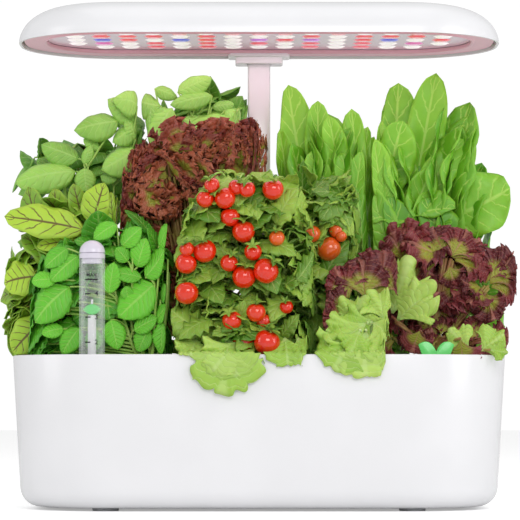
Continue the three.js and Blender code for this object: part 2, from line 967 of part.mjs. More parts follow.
const tubeInside = GAUGE.radius - GAUGE.wall;
const collarTop = deckTop + GAUGE.collarHeight + SEAT_GAP;
add(
  "gauge_tube",
  turned(
    [
      [tubeInside - GAUGE.lip, GAUGE.bottom],
      [GAUGE.radius, GAUGE.bottom],
      [GAUGE.radius, collarTop],
      [GAUGE.radius + GAUGE.collarWidth, collarTop],
      [GAUGE.radius + GAUGE.collarWidth, collarTop + GAUGE.wall],
      [GAUGE.radius, collarTop + GAUGE.wall],
      [GAUGE.radius, GAUGE.top],
      [tubeInside, GAUGE.top],
      [tubeInside, GAUGE.bottom + GAUGE.lipHeight],
      [tubeInside - GAUGE.lip, GAUGE.bottom + GAUGE.lipHeight],
      [tubeInside - GAUGE.lip, GAUGE.bottom],
    ],
    ROUND_SIDES,
    ...gauge,
  ),
  CLEAR,
);

const capBottom = GAUGE.top + SEAT_GAP;
const bandTop = capBottom + GAUGE_CAP.bandHeight;
const capDome = [];
for (let k = 0; k <= GAUGE_CAP.domeSteps; k++) {
  const angle = (k / GAUGE_CAP.domeSteps) * (Math.PI / 2);
  capDome.push([GAUGE.radius * Math.cos(angle), bandTop + GAUGE_CAP.domeHeight * Math.sin(angle)]);
}
const plugRadius = tubeInside - SEAT_GAP;
add(
  "gauge_cap",
  turned(
    [
      [0, capBottom],
      [plugRadius - GAUGE_CAP.wall, capBottom],
      [plugRadius - GAUGE_CAP.wall, capBottom - GAUGE_CAP.plugDepth],
      [plugRadius, capBottom - GAUGE_CAP.plugDepth],
      [plugRadius, capBottom],
      [GAUGE.radius, capBottom],
      ...capDome.slice(0, -1),
      [0, bandTop + GAUGE_CAP.domeHeight],
    ],
    ROUND_SIDES,
    ...gauge,
  ),
  PINK_WHITE,
);

const floatRadius = tubeInside - FLOAT.sideGap;
const pointerBottom = FLOAT.pointerZ - FLOAT.pointerHeight / 2;
const stemTop = pointerBottom - SEAT_GAP;
const floatBottom = FLOAT.bodyTop - FLOAT.bodyHeight;
add(
  "float_body",
  turned(
    [
      [0, floatBottom],
      [floatRadius, floatBottom],
      [floatRadius, FLOAT.bodyTop],
      [FLOAT.stemRadius, FLOAT.bodyTop],
      [FLOAT.stemRadius, stemTop],
      [FLOAT.pinRadius, stemTop],
      [FLOAT.pinRadius, stemTop + FLOAT.pointerHeight + FLOAT.pinHeight],
      [0, stemTop + FLOAT.pointerHeight + FLOAT.pinHeight],
    ],
    ROUND_SIDES,
    ...gauge,
  ),
  WARM_WHITE,
);

// A flat outline of [x, z] points given as a shape, with its thickness along Y, at x, y, z.
function upright(shape, thickness, steps, x, y, z) {
  const plate = new THREE.ExtrudeGeometry(shape, {
    depth: thickness,
    bevelEnabled: false,
    curveSegments: steps,
  });
  return plate.rotateX(Math.PI / 2).translate(x, y + thickness / 2, z);
}

// The pointer: a flat leaf with a point at each end, threaded on the pin of the stem.
const leafHalf = FLOAT.pointerWidth / 2;
const leafMiddle = FLOAT.pointerHeight / 2;
const leafPointer = new THREE.Shape();
leafPointer.moveTo(-leafHalf, leafMiddle);
leafPointer.quadraticCurveTo(0, leafMiddle + FLOAT.pointerHeight, leafHalf, leafMiddle);
leafPointer.quadraticCurveTo(0, leafMiddle - FLOAT.pointerHeight, -leafHalf, leafMiddle);
add(
  "float_pointer",
  cut(
    solid(
      upright(leafPointer, FLOAT.pointerThickness, FLOAT.leafSteps, ...gauge, pointerBottom),
    ),
    prism(
      polygon(...gauge, FLOAT.pinRadius + SEAT_GAP, NET_SIDES),
      pointerBottom - OVERRUN,
      FLOAT.pointerHeight + 2 * OVERRUN,
    ),
  ),
  LEAF_GREEN,
);

// Fill cap: a plugged disc with a slot, and the two-leaved sprout that serves as its handle

const fillCapBottom = deckTop + FILL.collarHeight + SEAT_GAP;
const fillCapTop = fillCapBottom + FILL.capThickness;
const fillCapRadius = FILL.holeRadius + FILL.collarWidth;
const fillPlugRadius = FILL.holeRadius * Math.cos(Math.PI / NET_SIDES) - SEAT_GAP;
const tabHalf = SPROUT.tabWidth / 2;
const slotBottom = fillCapTop - FILL.slotDepth;
add(
  "fill_cap",
  cut(
    solid(
      turned(
        [
          [0, fillCapBottom - FILL.plugDepth],
          [fillPlugRadius, fillCapBottom - FILL.plugDepth],
          [fillPlugRadius, fillCapBottom],
          [fillCapRadius, fillCapBottom],
          [fillCapRadius, fillCapTop],
          [0, fillCapTop],
        ],
        ROUND_SIDES,
        ...fill,
      ),
    ),
    block(
      SPROUT.tabWidth + 2 * SEAT_GAP,
      SPROUT.thickness + 2 * SEAT_GAP,
      FILL.slotDepth + OVERRUN,
      ...fill,
      slotBottom,
    ),
  ),
  WHITE,
);

const sproutBottom = fillCapTop + SEAT_GAP;
const sproutHeight = SPROUT.top - sproutBottom;
const tabBottom = slotBottom + SEAT_GAP - sproutBottom;
const tipHalf = SPROUT.tipWidth / 2;
const footHalf = SPROUT.baseWidth / 2;
const tipHeight = sproutHeight - SPROUT.notchDepth * SPROUT.tipDropShare;
const sprout = new THREE.Shape();
sprout.moveTo(-tabHalf, tabBottom);
sprout.lineTo(tabHalf, tabBottom);
sprout.lineTo(tabHalf, 0);
sprout.lineTo(footHalf, 0);
sprout.lineTo(tipHalf, tipHeight);
sprout.bezierCurveTo(
  tipHalf * SPROUT.crestShare,
  sproutHeight + SPROUT.notchDepth * SPROUT.tipDropShare,
  tipHalf * SPROUT.innerShare,
  sproutHeight,
  0,
  sproutHeight - SPROUT.notchDepth,
);
sprout.bezierCurveTo(
  -tipHalf * SPROUT.innerShare,
  sproutHeight,
  -tipHalf * SPROUT.crestShare,
  sproutHeight + SPROUT.notchDepth * SPROUT.tipDropShare,
  -tipHalf,
  tipHeight,
);
sprout.lineTo(-footHalf, 0);
sprout.lineTo(-tabHalf, 0);
sprout.closePath();
add(
  "sprout_handle",
  upright(sprout, SPROUT.thickness, SPROUT.steps, ...fill, sproutBottom),
  LEAF_GREEN,
);

// Net baskets and the foam plugs in them

function basket({ name, at: [x, y] }) {
  const bottom = flangeTop - BASKET.depth;
  const slotTop = flangeTop - BASKET.slotFromTop;
  const cup = turned(
    [
      [0, bottom],
      [BASKET.endRadius, bottom],
      [BASKET.mouthRadius, flangeBottom],
      [BASKET.flangeRadius, flangeBottom],
      [BASKET.flangeRadius, flangeTop],
      [BASKET.mouthRadius - BASKET.wall, flangeTop],
      [BASKET.endRadius - BASKET.wall, bottom + BASKET.wall],
      [0, bottom + BASKET.wall],
    ],
    NET_SIDES,
    x,
    y,
  );
  const slots = [0, Math.PI / 2].map((turn) =>
    new THREE.BoxGeometry(2 * BASKET.flangeRadius, BASKET.slotWidth, slotTop - bottom + OVERRUN)
      .rotateZ(turn)
      .translate(x, y, (slotTop + bottom - OVERRUN) / 2),
  );
  add(`basket_${name}`, cut(solid(cup), ...slots), BASKET_WHITE);
}

function sponge({ name, at: [x, y] }) {
  const bottom = flangeTop - BASKET.depth + BASKET.wall + SEAT_GAP;
  const slope = (BASKET.mouthRadius - BASKET.endRadius) / BASKET.depth;
  const flatShare = Math.cos(Math.PI / NET_SIDES);
  const fit = (z) =>
    (BASKET.mouthRadius - BASKET.wall - slope * (flangeTop - z)) * flatShare - SEAT_GAP;
  const plug = turned(
    [
      [SPONGE.rootRadius, bottom],
      [fit(bottom), bottom],
      [fit(crown), crown],
      [SPONGE.rootRadius, crown],
      [SPONGE.rootRadius, bottom],
    ],
    SPONGE.sides,
    x,
    y,
  );
  add(`sponge_${name}`, plug, FOAM);
}

for (const pod of PODS) {
  basket(pod);
  sponge(pod);
}

// Plants: leaves are thin closed blades on petioles that leave the crown or the stem, joined to a
// root. Each plant keeps to its own column, so it lifts out past its neighbours.

const POINT_UP = new THREE.Vector3(0, 0, 1);
const TO_FRONT = new THREE.Vector3(0, -1, 0);

// Half widths along the blade, as shares of the leaf's half width.
const OVATE_SHARES = [0.92, 0.86];
const FAN_SHARES = [0.72, 1];

// A place on a plant. Lengths in x and y are shares of the plant's spread, heights are shares of
// its height above the crown.
const placeOn = (plant, x, y, z) =>
  new THREE.Vector3(
    plant.at[0] + x * PLANT.spread,
    plant.at[1] + y * PLANT.spread,
    crown + z * plant.height,
  );

// A value drawn in between two limits: it hardly moves near the middle, and far out it closes in
// on the limit without reaching it.
function drawnIn(value, low, high) {
  const middle = (low + high) / 2;
  const half = (high - low) / 2;
  const share = (value - middle) / half;
  return middle + (half * share) / (1 + share ** PLANT.squeeze) ** (1 / PLANT.squeeze);
}

// Rings drawn into a plant's column, point by point.
function inColumn({ left, right, frontAt, back }, rings) {
  return rings.map((ring) =>
    ring.map(({ x, y, z }) => {
      const inside = drawnIn(x, left, right);
      return new THREE.Vector3(inside, drawnIn(y, frontAt(inside), back), z);
    }),
  );
}

// A leaf [baseX, baseY, baseZ, tipX, tipY, tipZ, width]: the petiole runs to the base, the blade
// from base to tip. The width is a share of the plant's spread.
function leaf(plant, [baseX, baseY, baseZ, tipX, tipY, tipZ, width]) {
  const start = placeOn(plant, 0, 0, baseZ * plant.stemShare);
  const base = placeOn(plant, baseX, baseY, baseZ);
  const tip = placeOn(plant, tipX, tipY, tipZ);
  const arch = base.distanceTo(tip) * plant.archShare;
  const blade = new THREE.QuadraticBezierCurve3(
    base,
    base.clone().lerp(tip, 1 / 2).addScaledVector(POINT_UP, arch),
    tip,
  );
  const facing = POINT_UP.clone().lerp(TO_FRONT, plant.faceShare);
  const sideways = tip.clone().sub(base).cross(facing);
  const half = PLANT.leafThickness / 2;
  const section = (middle, tangent, halfWidth, ruffle) => {
    const across = sideways.clone().projectOnPlane(tangent).normalize();
    const normal = new THREE.Vector3().crossVectors(across, tangent).normalize();
    const edge = (side) =>
      middle
        .clone()
        .addScaledVector(across, side * halfWidth)
        .addScaledVector(normal, (halfWidth - PLANT.petioleHalf) * plant.foldShare + side * ruffle);
    return [
      edge(-1),
      middle.clone().addScaledVector(normal, -half),
      edge(1),
      middle.clone().addScaledVector(normal, half),
    ];
  };
  const full = (width * PLANT.spread) / 2;
  const rise = base.clone().sub(start).normalize();
  const rings = [
    section(start, rise, PLANT.petioleHalf, 0),
    section(base, blade.getTangent(0).add(rise), PLANT.petioleHalf, 0),
  ];
  plant.profileShares.forEach((share, k) => {
    const along = (k + 1 / 2) / plant.profileShares.length;
    const ruffle = (k % 2 ? 1 : -1) * full * plant.ruffleShare;
    rings.push(section(blade.getPoint(along), blade.getTangent(along), full * share, ruffle));
  });
  rings.push(section(tip, blade.getTangent(1), PLANT.petioleHalf, 0));
  const [foot, ...rest] = rings;
  return loft([foot, ...inColumn(plant.column, rest)], true);
}

// A round stem from one point to another.
function stem(from, to, fromRadius, toRadius, sides = PLANT.stemSides) {
  const turn = new THREE.Quaternion().setFromUnitVectors(
    POINT_UP,
    to.clone().sub(from).normalize(),
  );
  const ring = (centre, radius) =>
    polygon(0, 0, radius, sides).map((p) =>
      new THREE.Vector3(p.x, p.y, 0).applyQuaternion(turn).add(centre),
    );
  return loft([ring(from, fromRadius), ring(to, toRadius)]);
}

// A tomato [x, y, z, radius], in the leaves' shares, hung from the stem on a stalk.
function tomato(plant, [x, y, z, radius]) {
  const [[centre]] = inColumn(plant.column, [[placeOn(plant, x, y, z)]]);
  const size = radius * PLANT.spread;
  const joint = new THREE.Vector3(plant.at[0], plant.at[1], centre.z + size);
  const ball = new THREE.SphereGeometry(size, TOMATO.sides, TOMATO.rings);
  ball.rotateX(Math.PI / 2).translate(centre.x, centre.y, centre.z);
  return [ball, stem(joint, centre, TOMATO.stalk, TOMATO.stalk, TOMATO.stalkSides)];
}

// The columns that the plants keep to, as outlines seen from above
const gapHalf = PLANT.gap / 2;
const sideReach = halfWidth + PLANT.overSide;
const frontReach = halfDepth + PLANT.overFront;
const backReach = halfDepth + PLANT.overBack;
const backLine = (backRow + middleRow) / 2;
const frontLine = (middleRow + frontRow) / 2;
const wideLine = (ROW.wideHalf + ROW.closeHalf) / 2;
const besidePost = POST.width / 2 + sleeveOut + SLEEVE.collarOut;
const besideHousing = housingFront - SLIDE_GAP;
const behindGauge = gauge[1] + GAUGE.radius + GAUGE.collarWidth;
const sorrelRight = SPLIT.sorrelRight - ROW.wideHalf;
const frillyRight = SPLIT.frillyRight - ROW.closeHalf;
const redLeft = ROW.wideHalf - SPLIT.redLeft;
const mintRight = SPLIT.mintRight - ROW.frontHalf;
const mintLeft = -ROW.frontHalf - SPLIT.mintLeft;
const greenLeft = ROW.frontHalf - SPLIT.greenLeft;
const greenRight = ROW.frontHalf + SPLIT.greenRight;

function column(left, right, front, back) {
  return {
    left: left + gapHalf,
    right: right - gapHalf,
    frontAt: () => front + gapHalf,
    back: back - gapHalf,
  };
}
// The red lettuce also reaches forward past the fill cap, along a slanting front edge.
const hangPoint = new THREE.Vector2(fill[0] + SPLIT.hangX, fill[1] - SPLIT.hangY);
const slantStart = fill[0] - SPLIT.innerX;
const redColumn = {
  ...column(redLeft, sideReach, frontLine, backLine),
  frontAt: (x) => {
    const share = THREE.MathUtils.clamp((x - slantStart) / (hangPoint.x - slantStart), 0, 1);
    return THREE.MathUtils.lerp(frontLine + gapHalf, hangPoint.y, share);
  },
};

const BROAD = { profileShares: OVATE_SHARES, ruffleShare: 0, archShare: 0.22, foldShare: 0.22 };
const FRILLY = { profileShares: FAN_SHARES, ruffleShare: 0.3, archShare: 0.3, foldShare: 0.25 };

const PLANTS = {
  basil_left: {
    ...BROAD,
    look: BASIL_GREEN,
    height: PLANT.tall,
    column: column(-sideReach, -wideLine, backLine, backReach),
    faceShare: 0.55,
    stemShare: 0.75,
    leafShares: [
      [-0.14, -0.05, 0.7, -0.66, -0.12, 0.64, 0.28],
      [-0.1, 0.05, 0.72, -0.42, 0.05, 0.8, 0.22],
      [0.02, 0, 0.76, 0.05, 0.05, 0.9, 0.38],
      [0.18, -0.08, 0.84, 0.22, -0.17, 0.66, 0.38],
      [0.42, 0.02, 0.94, 0.12, -0.03, 0.91, 0.26],
      [-0.2, 0.2, 0.62, -0.56, 0.4, 0.7, 0.32],
      [0.1, 0.25, 0.7, 0.25, 0.52, 0.86, 0.34],
      [-0.1, -0.12, 0.6, -0.36, -0.18, 0.52, 0.3],
    ],
  },
  basil_right: {
    ...BROAD,
    look: BASIL_GREEN,
    height: PLANT.tall,
    column: column(-wideLine, -besidePost, backLine, backReach),
    faceShare: 0.55,
    stemShare: 0.75,
    leafShares: [
      [-0.28, -0.05, 0.88, -0.28, -0.16, 0.77, 0.36],
      [-0.07, 0, 0.89, 0.05, 0.05, 1, 0.28],
      [-0.12, -0.08, 0.83, 0.3, -0.12, 0.83, 0.24],
      [0.16, 0, 0.79, 0.3, 0.05, 0.9, 0.26],
      [-0.1, 0.18, 0.79, -0.22, 0.5, 0.9, 0.34],
      [0.08, 0.2, 0.72, 0.18, 0.5, 0.82, 0.34],
      [-0.26, -0.1, 0.7, -0.4, -0.17, 0.62, 0.3],
      [0.05, -0.12, 0.73, 0.12, -0.2, 0.62, 0.34],
    ],
  },
  spinach_left: {
    ...BROAD,
    look: SPINACH_GREEN,
    height: PLANT.tall,
    column: column(besidePost, wideLine, backLine, backReach),
    faceShare: 0.9,
    stemShare: 0,
    leafShares: [
      [-0.2, 0, 0.55, -0.24, 0.05, 0.97, 0.32],
      [0.1, -0.05, 0.6, 0.14, -0.05, 0.87, 0.22],
      [0.02, -0.1, 0.42, 0.1, -0.14, 0.79, 0.36],
      [0.3, 0, 0.5, 0.36, -0.05, 0.83, 0.3],
      [-0.12, -0.1, 0.35, -0.22, -0.15, 0.7, 0.34],
      [0.18, -0.1, 0.35, 0.34, -0.17, 0.62, 0.36],
      [0, 0.2, 0.6, -0.05, 0.45, 0.85, 0.38],
    ],
  },
  spinach_right: {
    ...BROAD,
    look: SPINACH_GREEN,
    height: PLANT.tall,
    column: column(wideLine, sideReach, backLine, backReach),
    faceShare: 0.9,
    stemShare: 0,
    leafShares: [
      [-0.36, 0.05, 0.58, -0.38, 0.1, 0.98, 0.44],
      [-0.02, 0.05, 0.58, 0.08, 0.1, 1.01, 0.44],
      [-0.16, -0.05, 0.5, 0.32, -0.05, 0.78, 0.24],
      [0.1, -0.08, 0.43, 0.74, -0.1, 0.67, 0.46],
      [0.1, -0.12, 0.38, 0.5, -0.18, 0.5, 0.38],
      [0.28, 0.2, 0.52, 0.58, 0.42, 0.74, 0.4],
      [-0.2, -0.12, 0.36, -0.3, -0.18, 0.62, 0.36],
      [-0.1, 0.25, 0.58, -0.15, 0.54, 0.86, 0.42],
    ],
  },
  sorrel: {
    ...BROAD,
    look: SORREL_GREEN,
    height: PLANT.middling,
    column: column(-sideReach, sorrelRight, frontLine, backLine),
    faceShare: 0.55,
    stemShare: 0,
    leafShares: [
      [-0.23, 0, 0.56, -0.72, -0.02, 0.65, 0.3],
      [-0.02, 0.02, 0.66, -0.46, 0.06, 0.76, 0.28],
      [0.05, -0.05, 0.54, 0.18, -0.05, 0.72, 0.3],
      [-0.3, -0.05, 0.36, -0.72, -0.1, 0.42, 0.3],
      [-0.3, -0.1, 0.22, -0.64, -0.14, 0.08, 0.32],
      [-0.15, -0.1, 0.44, -0.56, -0.17, 0.52, 0.34],
      [0.04, -0.12, 0.34, 0.18, -0.19, 0.48, 0.32],
      [-0.1, -0.12, 0.3, -0.32, -0.19, 0.15, 0.32],
    ],
  },
  frilly_lettuce: {
    ...FRILLY,
    look: RED_LETTUCE,
    height: PLANT.middling,
    column: column(sorrelRight, frillyRight, frontLine, backLine),
    faceShare: 0.6,
    stemShare: 0.5,
    leafShares: [
      [-0.2, 0.02, 0.56, -0.6, 0.02, 0.74, 0.4],
      [-0.14, 0.1, 0.68, -0.36, 0.15, 0.92, 0.38],
      [0.03, 0.08, 0.7, 0.02, 0.14, 0.95, 0.4],
      [0.18, 0.05, 0.62, 0.4, 0.1, 0.88, 0.4],
      [0.2, -0.06, 0.48, 0.52, -0.08, 0.66, 0.38],
      [-0.04, -0.08, 0.52, -0.14, -0.16, 0.76, 0.44],
      [-0.2, -0.1, 0.4, -0.5, -0.16, 0.5, 0.34],
    ],
  },
  tomato_right: {
    ...BROAD,
    look: TOMATO_RED,
    height: PLANT.middling,
    column: column(frillyRight, redLeft, frontLine, backLine),
    faceShare: 0.6,
    stemShare: 0.9,
    leafShares: [
      [-0.08, 0, 0.62, -0.3, -0.08, 0.76, 0.3],
      [0.1, 0, 0.56, 0.32, -0.08, 0.7, 0.32],
      [-0.1, -0.06, 0.42, -0.34, -0.14, 0.5, 0.34],
      [0.1, -0.06, 0.32, 0.34, -0.14, 0.4, 0.36],
      [-0.1, -0.06, 0.22, -0.32, -0.16, 0.28, 0.34],
    ],
    tomatoShares: [
      [-0.04, -0.16, 0.53, 0.07],
      [0.1, -0.13, 0.47, 0.1],
      [0.18, -0.14, 0.56, 0.065],
    ],
  },
  red_lettuce: {
    ...FRILLY,
    look: RED_LETTUCE,
    height: PLANT.middling,
    column: redColumn,
    faceShare: 0.6,
    stemShare: 0.3,
    leafShares: [
      [-0.1, 0, 0.3, -0.48, -0.02, 0.48, 0.48],
      [-0.05, 0, 0.36, -0.26, 0.02, 0.6, 0.48],
      [0.05, 0.02, 0.36, 0.14, 0.06, 0.58, 0.52],
      [0.15, 0, 0.32, 0.48, 0.02, 0.46, 0.5],
      [0.2, -0.05, 0.2, 0.68, -0.1, 0.28, 0.5],
      [0.15, -0.12, 0.22, 0.5, -0.28, 0.2, 0.4],
      [-0.08, -0.08, 0.22, -0.34, -0.18, 0.3, 0.42],
      [0.36, -0.5, 0.16, 0.46, -0.71, 0.07, 0.24],
    ],
  },
  mint: {
    ...BROAD,
    look: MINT_GREEN,
    height: PLANT.middling,
    column: column(mintLeft, mintRight, behindGauge, frontLine),
    faceShare: 0.6,
    stemShare: 0.8,
    leafShares: [
      [-0.3, 0.05, 0.5, -0.46, 0.02, 0.6, 0.2],
      [-0.1, 0.05, 0.5, -0.18, 0.02, 0.62, 0.22],
      [0, 0.02, 0.46, 0.12, 0, 0.54, 0.2],
      [0, -0.02, 0.3, 0.15, -0.06, 0.4, 0.22],
      [-0.16, 0, 0.36, -0.3, -0.04, 0.46, 0.22],
      [-0.05, -0.02, 0.22, -0.14, -0.07, 0.32, 0.22],
      [0.02, -0.02, 0.1, 0.15, -0.07, 0.16, 0.2],
      [-0.2, 0, 0.12, -0.38, -0.05, 0.2, 0.22],
      [-0.5, 0.05, 0.24, -0.7, 0, 0.34, 0.24],
      [-0.7, 0.05, 0.3, -0.96, 0, 0.38, 0.24],
      [-0.7, 0, 0.08, -0.92, -0.04, 0.14, 0.24],
    ],
  },
  tomato_front: {
    ...BROAD,
    look: TOMATO_RED,
    height: PLANT.middling,
    column: column(mintRight, greenLeft, -frontReach, frontLine),
    faceShare: 0.7,
    stemShare: 0.9,
    leafShares: [
      [-0.1, -0.05, 0.5, -0.36, -0.14, 0.56, 0.3],
      [0.1, -0.05, 0.46, 0.36, -0.14, 0.56, 0.34],
      [-0.12, -0.08, 0.28, -0.4, -0.2, 0.34, 0.32],
      [0.1, -0.08, 0.24, 0.4, -0.24, 0.3, 0.34],
      [0.05, -0.16, 0.14, 0.34, -0.38, 0.1, 0.34],
      [-0.16, -0.47, 0.17, -0.28, -0.55, -0.12, 0.26],
    ],
    tomatoShares: [
      [-0.37, -0.28, 0.7, 0.063],
      [-0.43, -0.3, 0.645, 0.07],
      [-0.27, -0.3, 0.65, 0.087],
      [-0.18, -0.28, 0.69, 0.063],
      [-0.09, -0.3, 0.685, 0.067],
      [0.11, -0.28, 0.685, 0.087],
      [-0.23, -0.32, 0.57, 0.08],
      [-0.12, -0.34, 0.515, 0.09],
      [-0.575, -0.3, 0.445, 0.06],
      [-0.43, -0.32, 0.44, 0.095],
      [-0.585, -0.32, 0.39, 0.087],
      [-0.235, -0.34, 0.39, 0.07],
      [-0.05, -0.34, 0.435, 0.07],
      [-0.12, -0.36, 0.335, 0.095],
      [0.055, -0.36, 0.36, 0.103],
      [-0.575, -0.34, 0.27, 0.095],
      [0.14, -0.3, 0.49, 0.063],
      [-0.215, -0.4, 0.165, 0.08],
      [-0.12, -0.44, 0.085, 0.09],
      [0.065, -0.44, 0.08, 0.107],
      [-0.02, -0.4, 0.195, 0.08],
    ],
  },
  green_lettuce: {
    ...FRILLY,
    look: GREEN_LETTUCE,
    height: PLANT.middling,
    column: column(greenLeft, greenRight, -frontReach, frontLine),
    faceShare: 0.6,
    stemShare: 0.2,
    leafShares: [
      [-0.1, -0.04, 0.12, -0.33, -0.16, 0.2, 0.3],
      [-0.03, 0.04, 0.2, -0.08, 0.06, 0.38, 0.32],
      [0.06, 0.02, 0.16, 0.17, 0.04, 0.3, 0.26],
      [0.06, -0.2, 0.12, 0.12, -0.4, 0.12, 0.26],
      [-0.14, -0.46, 0.14, -0.26, -0.55, -0.06, 0.26],
      [-0.04, -0.16, 0.22, -0.1, -0.34, 0.28, 0.26],
    ],
  },
};

function plantShape(at, traits) {
  const plant = { at, ...traits };
  const onAxis = (z) => new THREE.Vector3(at[0], at[1], z);
  const highest = Math.max(
    ...plant.leafShares.map((row) => row[2]),
    ...(plant.tomatoShares ?? []).map((row) => row[2] + row[3]),
  );
  const stemTop = crown + highest * plant.stemShare * plant.height + 2 * PLANT.stemRadius;
  const root = stem(
    onAxis(crown - PLANT.rootDepth),
    onAxis(crown + BITE),
    PLANT.rootRadius,
    PLANT.rootRadius,
  );
  const shoot = stem(onAxis(crown), onAxis(stemTop), PLANT.stemRadius, PLANT.stemRadius / 2);
  const blades = plant.leafShares.map((row) => leaf(plant, row));
  const fruit = (plant.tomatoShares ?? []).flatMap((row) => tomato(plant, row));
  return largest(join(shoot, root, ...blades, ...fruit));
}

for (const { name, at } of PODS) {
  add(`plant_${name}`, plantShape(at, PLANTS[name]), PLANTS[name].look);
}

export default garden;
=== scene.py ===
import json
import math

import bmesh
import bpy
import numpy as np
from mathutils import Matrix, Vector

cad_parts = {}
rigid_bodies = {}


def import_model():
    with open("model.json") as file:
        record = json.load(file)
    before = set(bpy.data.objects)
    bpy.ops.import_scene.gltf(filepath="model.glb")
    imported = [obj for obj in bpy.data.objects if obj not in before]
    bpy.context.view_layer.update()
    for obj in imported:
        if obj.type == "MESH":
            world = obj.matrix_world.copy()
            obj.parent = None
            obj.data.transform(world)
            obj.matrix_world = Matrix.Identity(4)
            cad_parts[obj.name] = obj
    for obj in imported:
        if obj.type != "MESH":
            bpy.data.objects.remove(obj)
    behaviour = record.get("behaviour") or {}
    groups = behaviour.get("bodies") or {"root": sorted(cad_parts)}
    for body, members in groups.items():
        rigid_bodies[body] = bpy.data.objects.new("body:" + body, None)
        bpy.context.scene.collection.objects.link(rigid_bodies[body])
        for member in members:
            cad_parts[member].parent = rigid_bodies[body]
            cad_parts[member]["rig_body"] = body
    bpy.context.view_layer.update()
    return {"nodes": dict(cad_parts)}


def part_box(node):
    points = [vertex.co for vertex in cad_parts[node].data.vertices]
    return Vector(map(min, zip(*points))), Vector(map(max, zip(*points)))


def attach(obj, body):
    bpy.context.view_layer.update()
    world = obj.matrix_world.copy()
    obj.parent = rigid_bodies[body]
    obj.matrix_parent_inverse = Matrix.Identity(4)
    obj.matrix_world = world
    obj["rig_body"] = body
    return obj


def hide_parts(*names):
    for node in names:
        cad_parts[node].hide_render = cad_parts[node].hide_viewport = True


bl_info = {
    "name": "Countertop Hydroponic Garden",
    "version": (1, 0, 0),
    "blender": (4, 5, 0),
    "location": "View3D > Sidebar > Garden",
    "description": "Dresses a countertop garden: tank, lamp, water gauge, herbs, lettuces and tomatoes",
    "category": "Add Mesh",
}

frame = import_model()
NODES = frame["nodes"]
MM = 0.001
FULL_TURN = 2 * math.pi
QUARTER = math.pi / 2
UP = np.array([0.0, 0.0, 1.0])
FRONT = np.array([0.0, -1.0, 0.0])


# Settings that a user would change


def colour_setting(name, description, default):
    return bpy.props.FloatVectorProperty(
        name=name, description=description, default=default, subtype="COLOR", size=3, min=0, max=1
    )


def length_setting(name, description, default):
    return bpy.props.FloatProperty(
        name=name, description=description, default=default, subtype="DISTANCE", unit="LENGTH", min=0
    )


class GardenSizes(bpy.types.PropertyGroup):
    """Sizes of the finish, in metres."""

    leaf_thickness: length_setting("Leaf thickness", "Thickness of a herb or lettuce leaf", 0.0005)
    stem_radius: length_setting("Stem radius", "Radius of a main stem at the crown", 0.0022)
    petiole_radius: length_setting("Petiole radius", "Radius of a leaf stalk", 0.0009)
    edge_radius: length_setting("Edge radius", "Rounding of the edges of moulded pieces", 0.0004)
    truss_radius: length_setting("Truss radius", "Radius of the stalks that tomatoes hang on", 0.0007)
    lens_rise: length_setting("Lens rise", "How far a lamp lens stands out of its panel", 0.0013)


class GardenColours(bpy.types.PropertyGroup):
    """Colours of the finish, as linear values."""

    shell: colour_setting("Shell", "Glossy white of the tank, post and lamp", (0.86, 0.86, 0.88))
    # The post's white carries painted pink light from the lamp's lenses.
    post: colour_setting("Post", "White of the post, with a little of the lamp's pink", (0.92, 0.84, 0.88))
    frame: colour_setting("Lamp frame", "Frame round the lenses, lit pink by them", (0.84, 0.42, 0.51))
    rubber: colour_setting("Feet", "Soft grey feet", (0.45, 0.46, 0.48))
    clear: colour_setting("Clear plastic", "Tube of the water gauge", (0.95, 0.98, 0.98))
    sprout: colour_setting("Sprout", "Green of the filler's handle and of the pointer", (0.11, 0.62, 0.13))
    foam: colour_setting("Foam", "Sponge that holds each root", (0.86, 0.85, 0.80))
    basil: colour_setting("Basil", "Basil leaves", (0.10, 0.31, 0.02))
    spinach: colour_setting("Spinach", "Spinach leaves", (0.11, 0.38, 0.01))
    sorrel: colour_setting("Sorrel", "Red-veined sorrel leaves", (0.18, 0.38, 0.02))
    mint: colour_setting("Mint", "Mint leaves", (0.05, 0.28, 0.01))
    red_lettuce: colour_setting("Red lettuce", "Burgundy lettuce leaves", (0.12, 0.014, 0.018))
    green_lettuce: colour_setting("Green lettuce", "Pale green lettuce leaves", (0.32, 0.54, 0.06))
    tomato_leaf: colour_setting("Tomato leaf", "Leaves of the tomato plants", (0.09, 0.24, 0.014))
    tomato: colour_setting("Tomato", "Ripe tomatoes", (0.76, 0.018, 0.001))


def sizes():
    return bpy.context.scene.garden_sizes


def colours():
    return bpy.context.scene.garden_colours


# Meshes from whole arrays of points


MERGE_DISTANCE = 0.01 * MM
SHARP_ANGLE = math.radians(35)
MOULD_SHARP_ANGLE = math.radians(40)
FRAME_SHARP_ANGLE = math.radians(50)
TINY = 1e-12
STEEP_SHARE = 0.9


def grid_quads(rows, columns, wrap):
    """Corner numbers of a grid's quads; the last column meets the first where wrap is true."""
    across = columns if wrap else columns - 1
    row, column = np.meshgrid(np.arange(rows - 1), np.arange(across), indexing="ij")
    here = row * columns + column
    beside = row * columns + (column + 1) % columns
    return np.stack([here, beside, beside + columns, here + columns], axis=-1).reshape(-1, 4)


def sheets_mesh(points, wrap=False):
    """Vertices and quads of many grids at once: points is sheets x rows x columns x 3."""
    sheets, rows, columns, _ = points.shape
    quads = grid_quads(rows, columns, wrap)
    shift = np.arange(sheets)[:, None, None] * rows * columns
    return points.reshape(-1, 3), (quads[None] + shift).reshape(-1, 4)


def joined(*meshes):
    """Several (vertices, quads) pairs as one."""
    starts = np.cumsum([0] + [len(vertices) for vertices, _ in meshes])
    quads = [faces + start for (_, faces), start in zip(meshes, starts)]
    return np.concatenate([vertices for vertices, _ in meshes]), np.concatenate(quads)


def new_object(name, mesh):
    made = bpy.data.objects.new(name, mesh)
    bpy.context.scene.collection.objects.link(made)
    return made


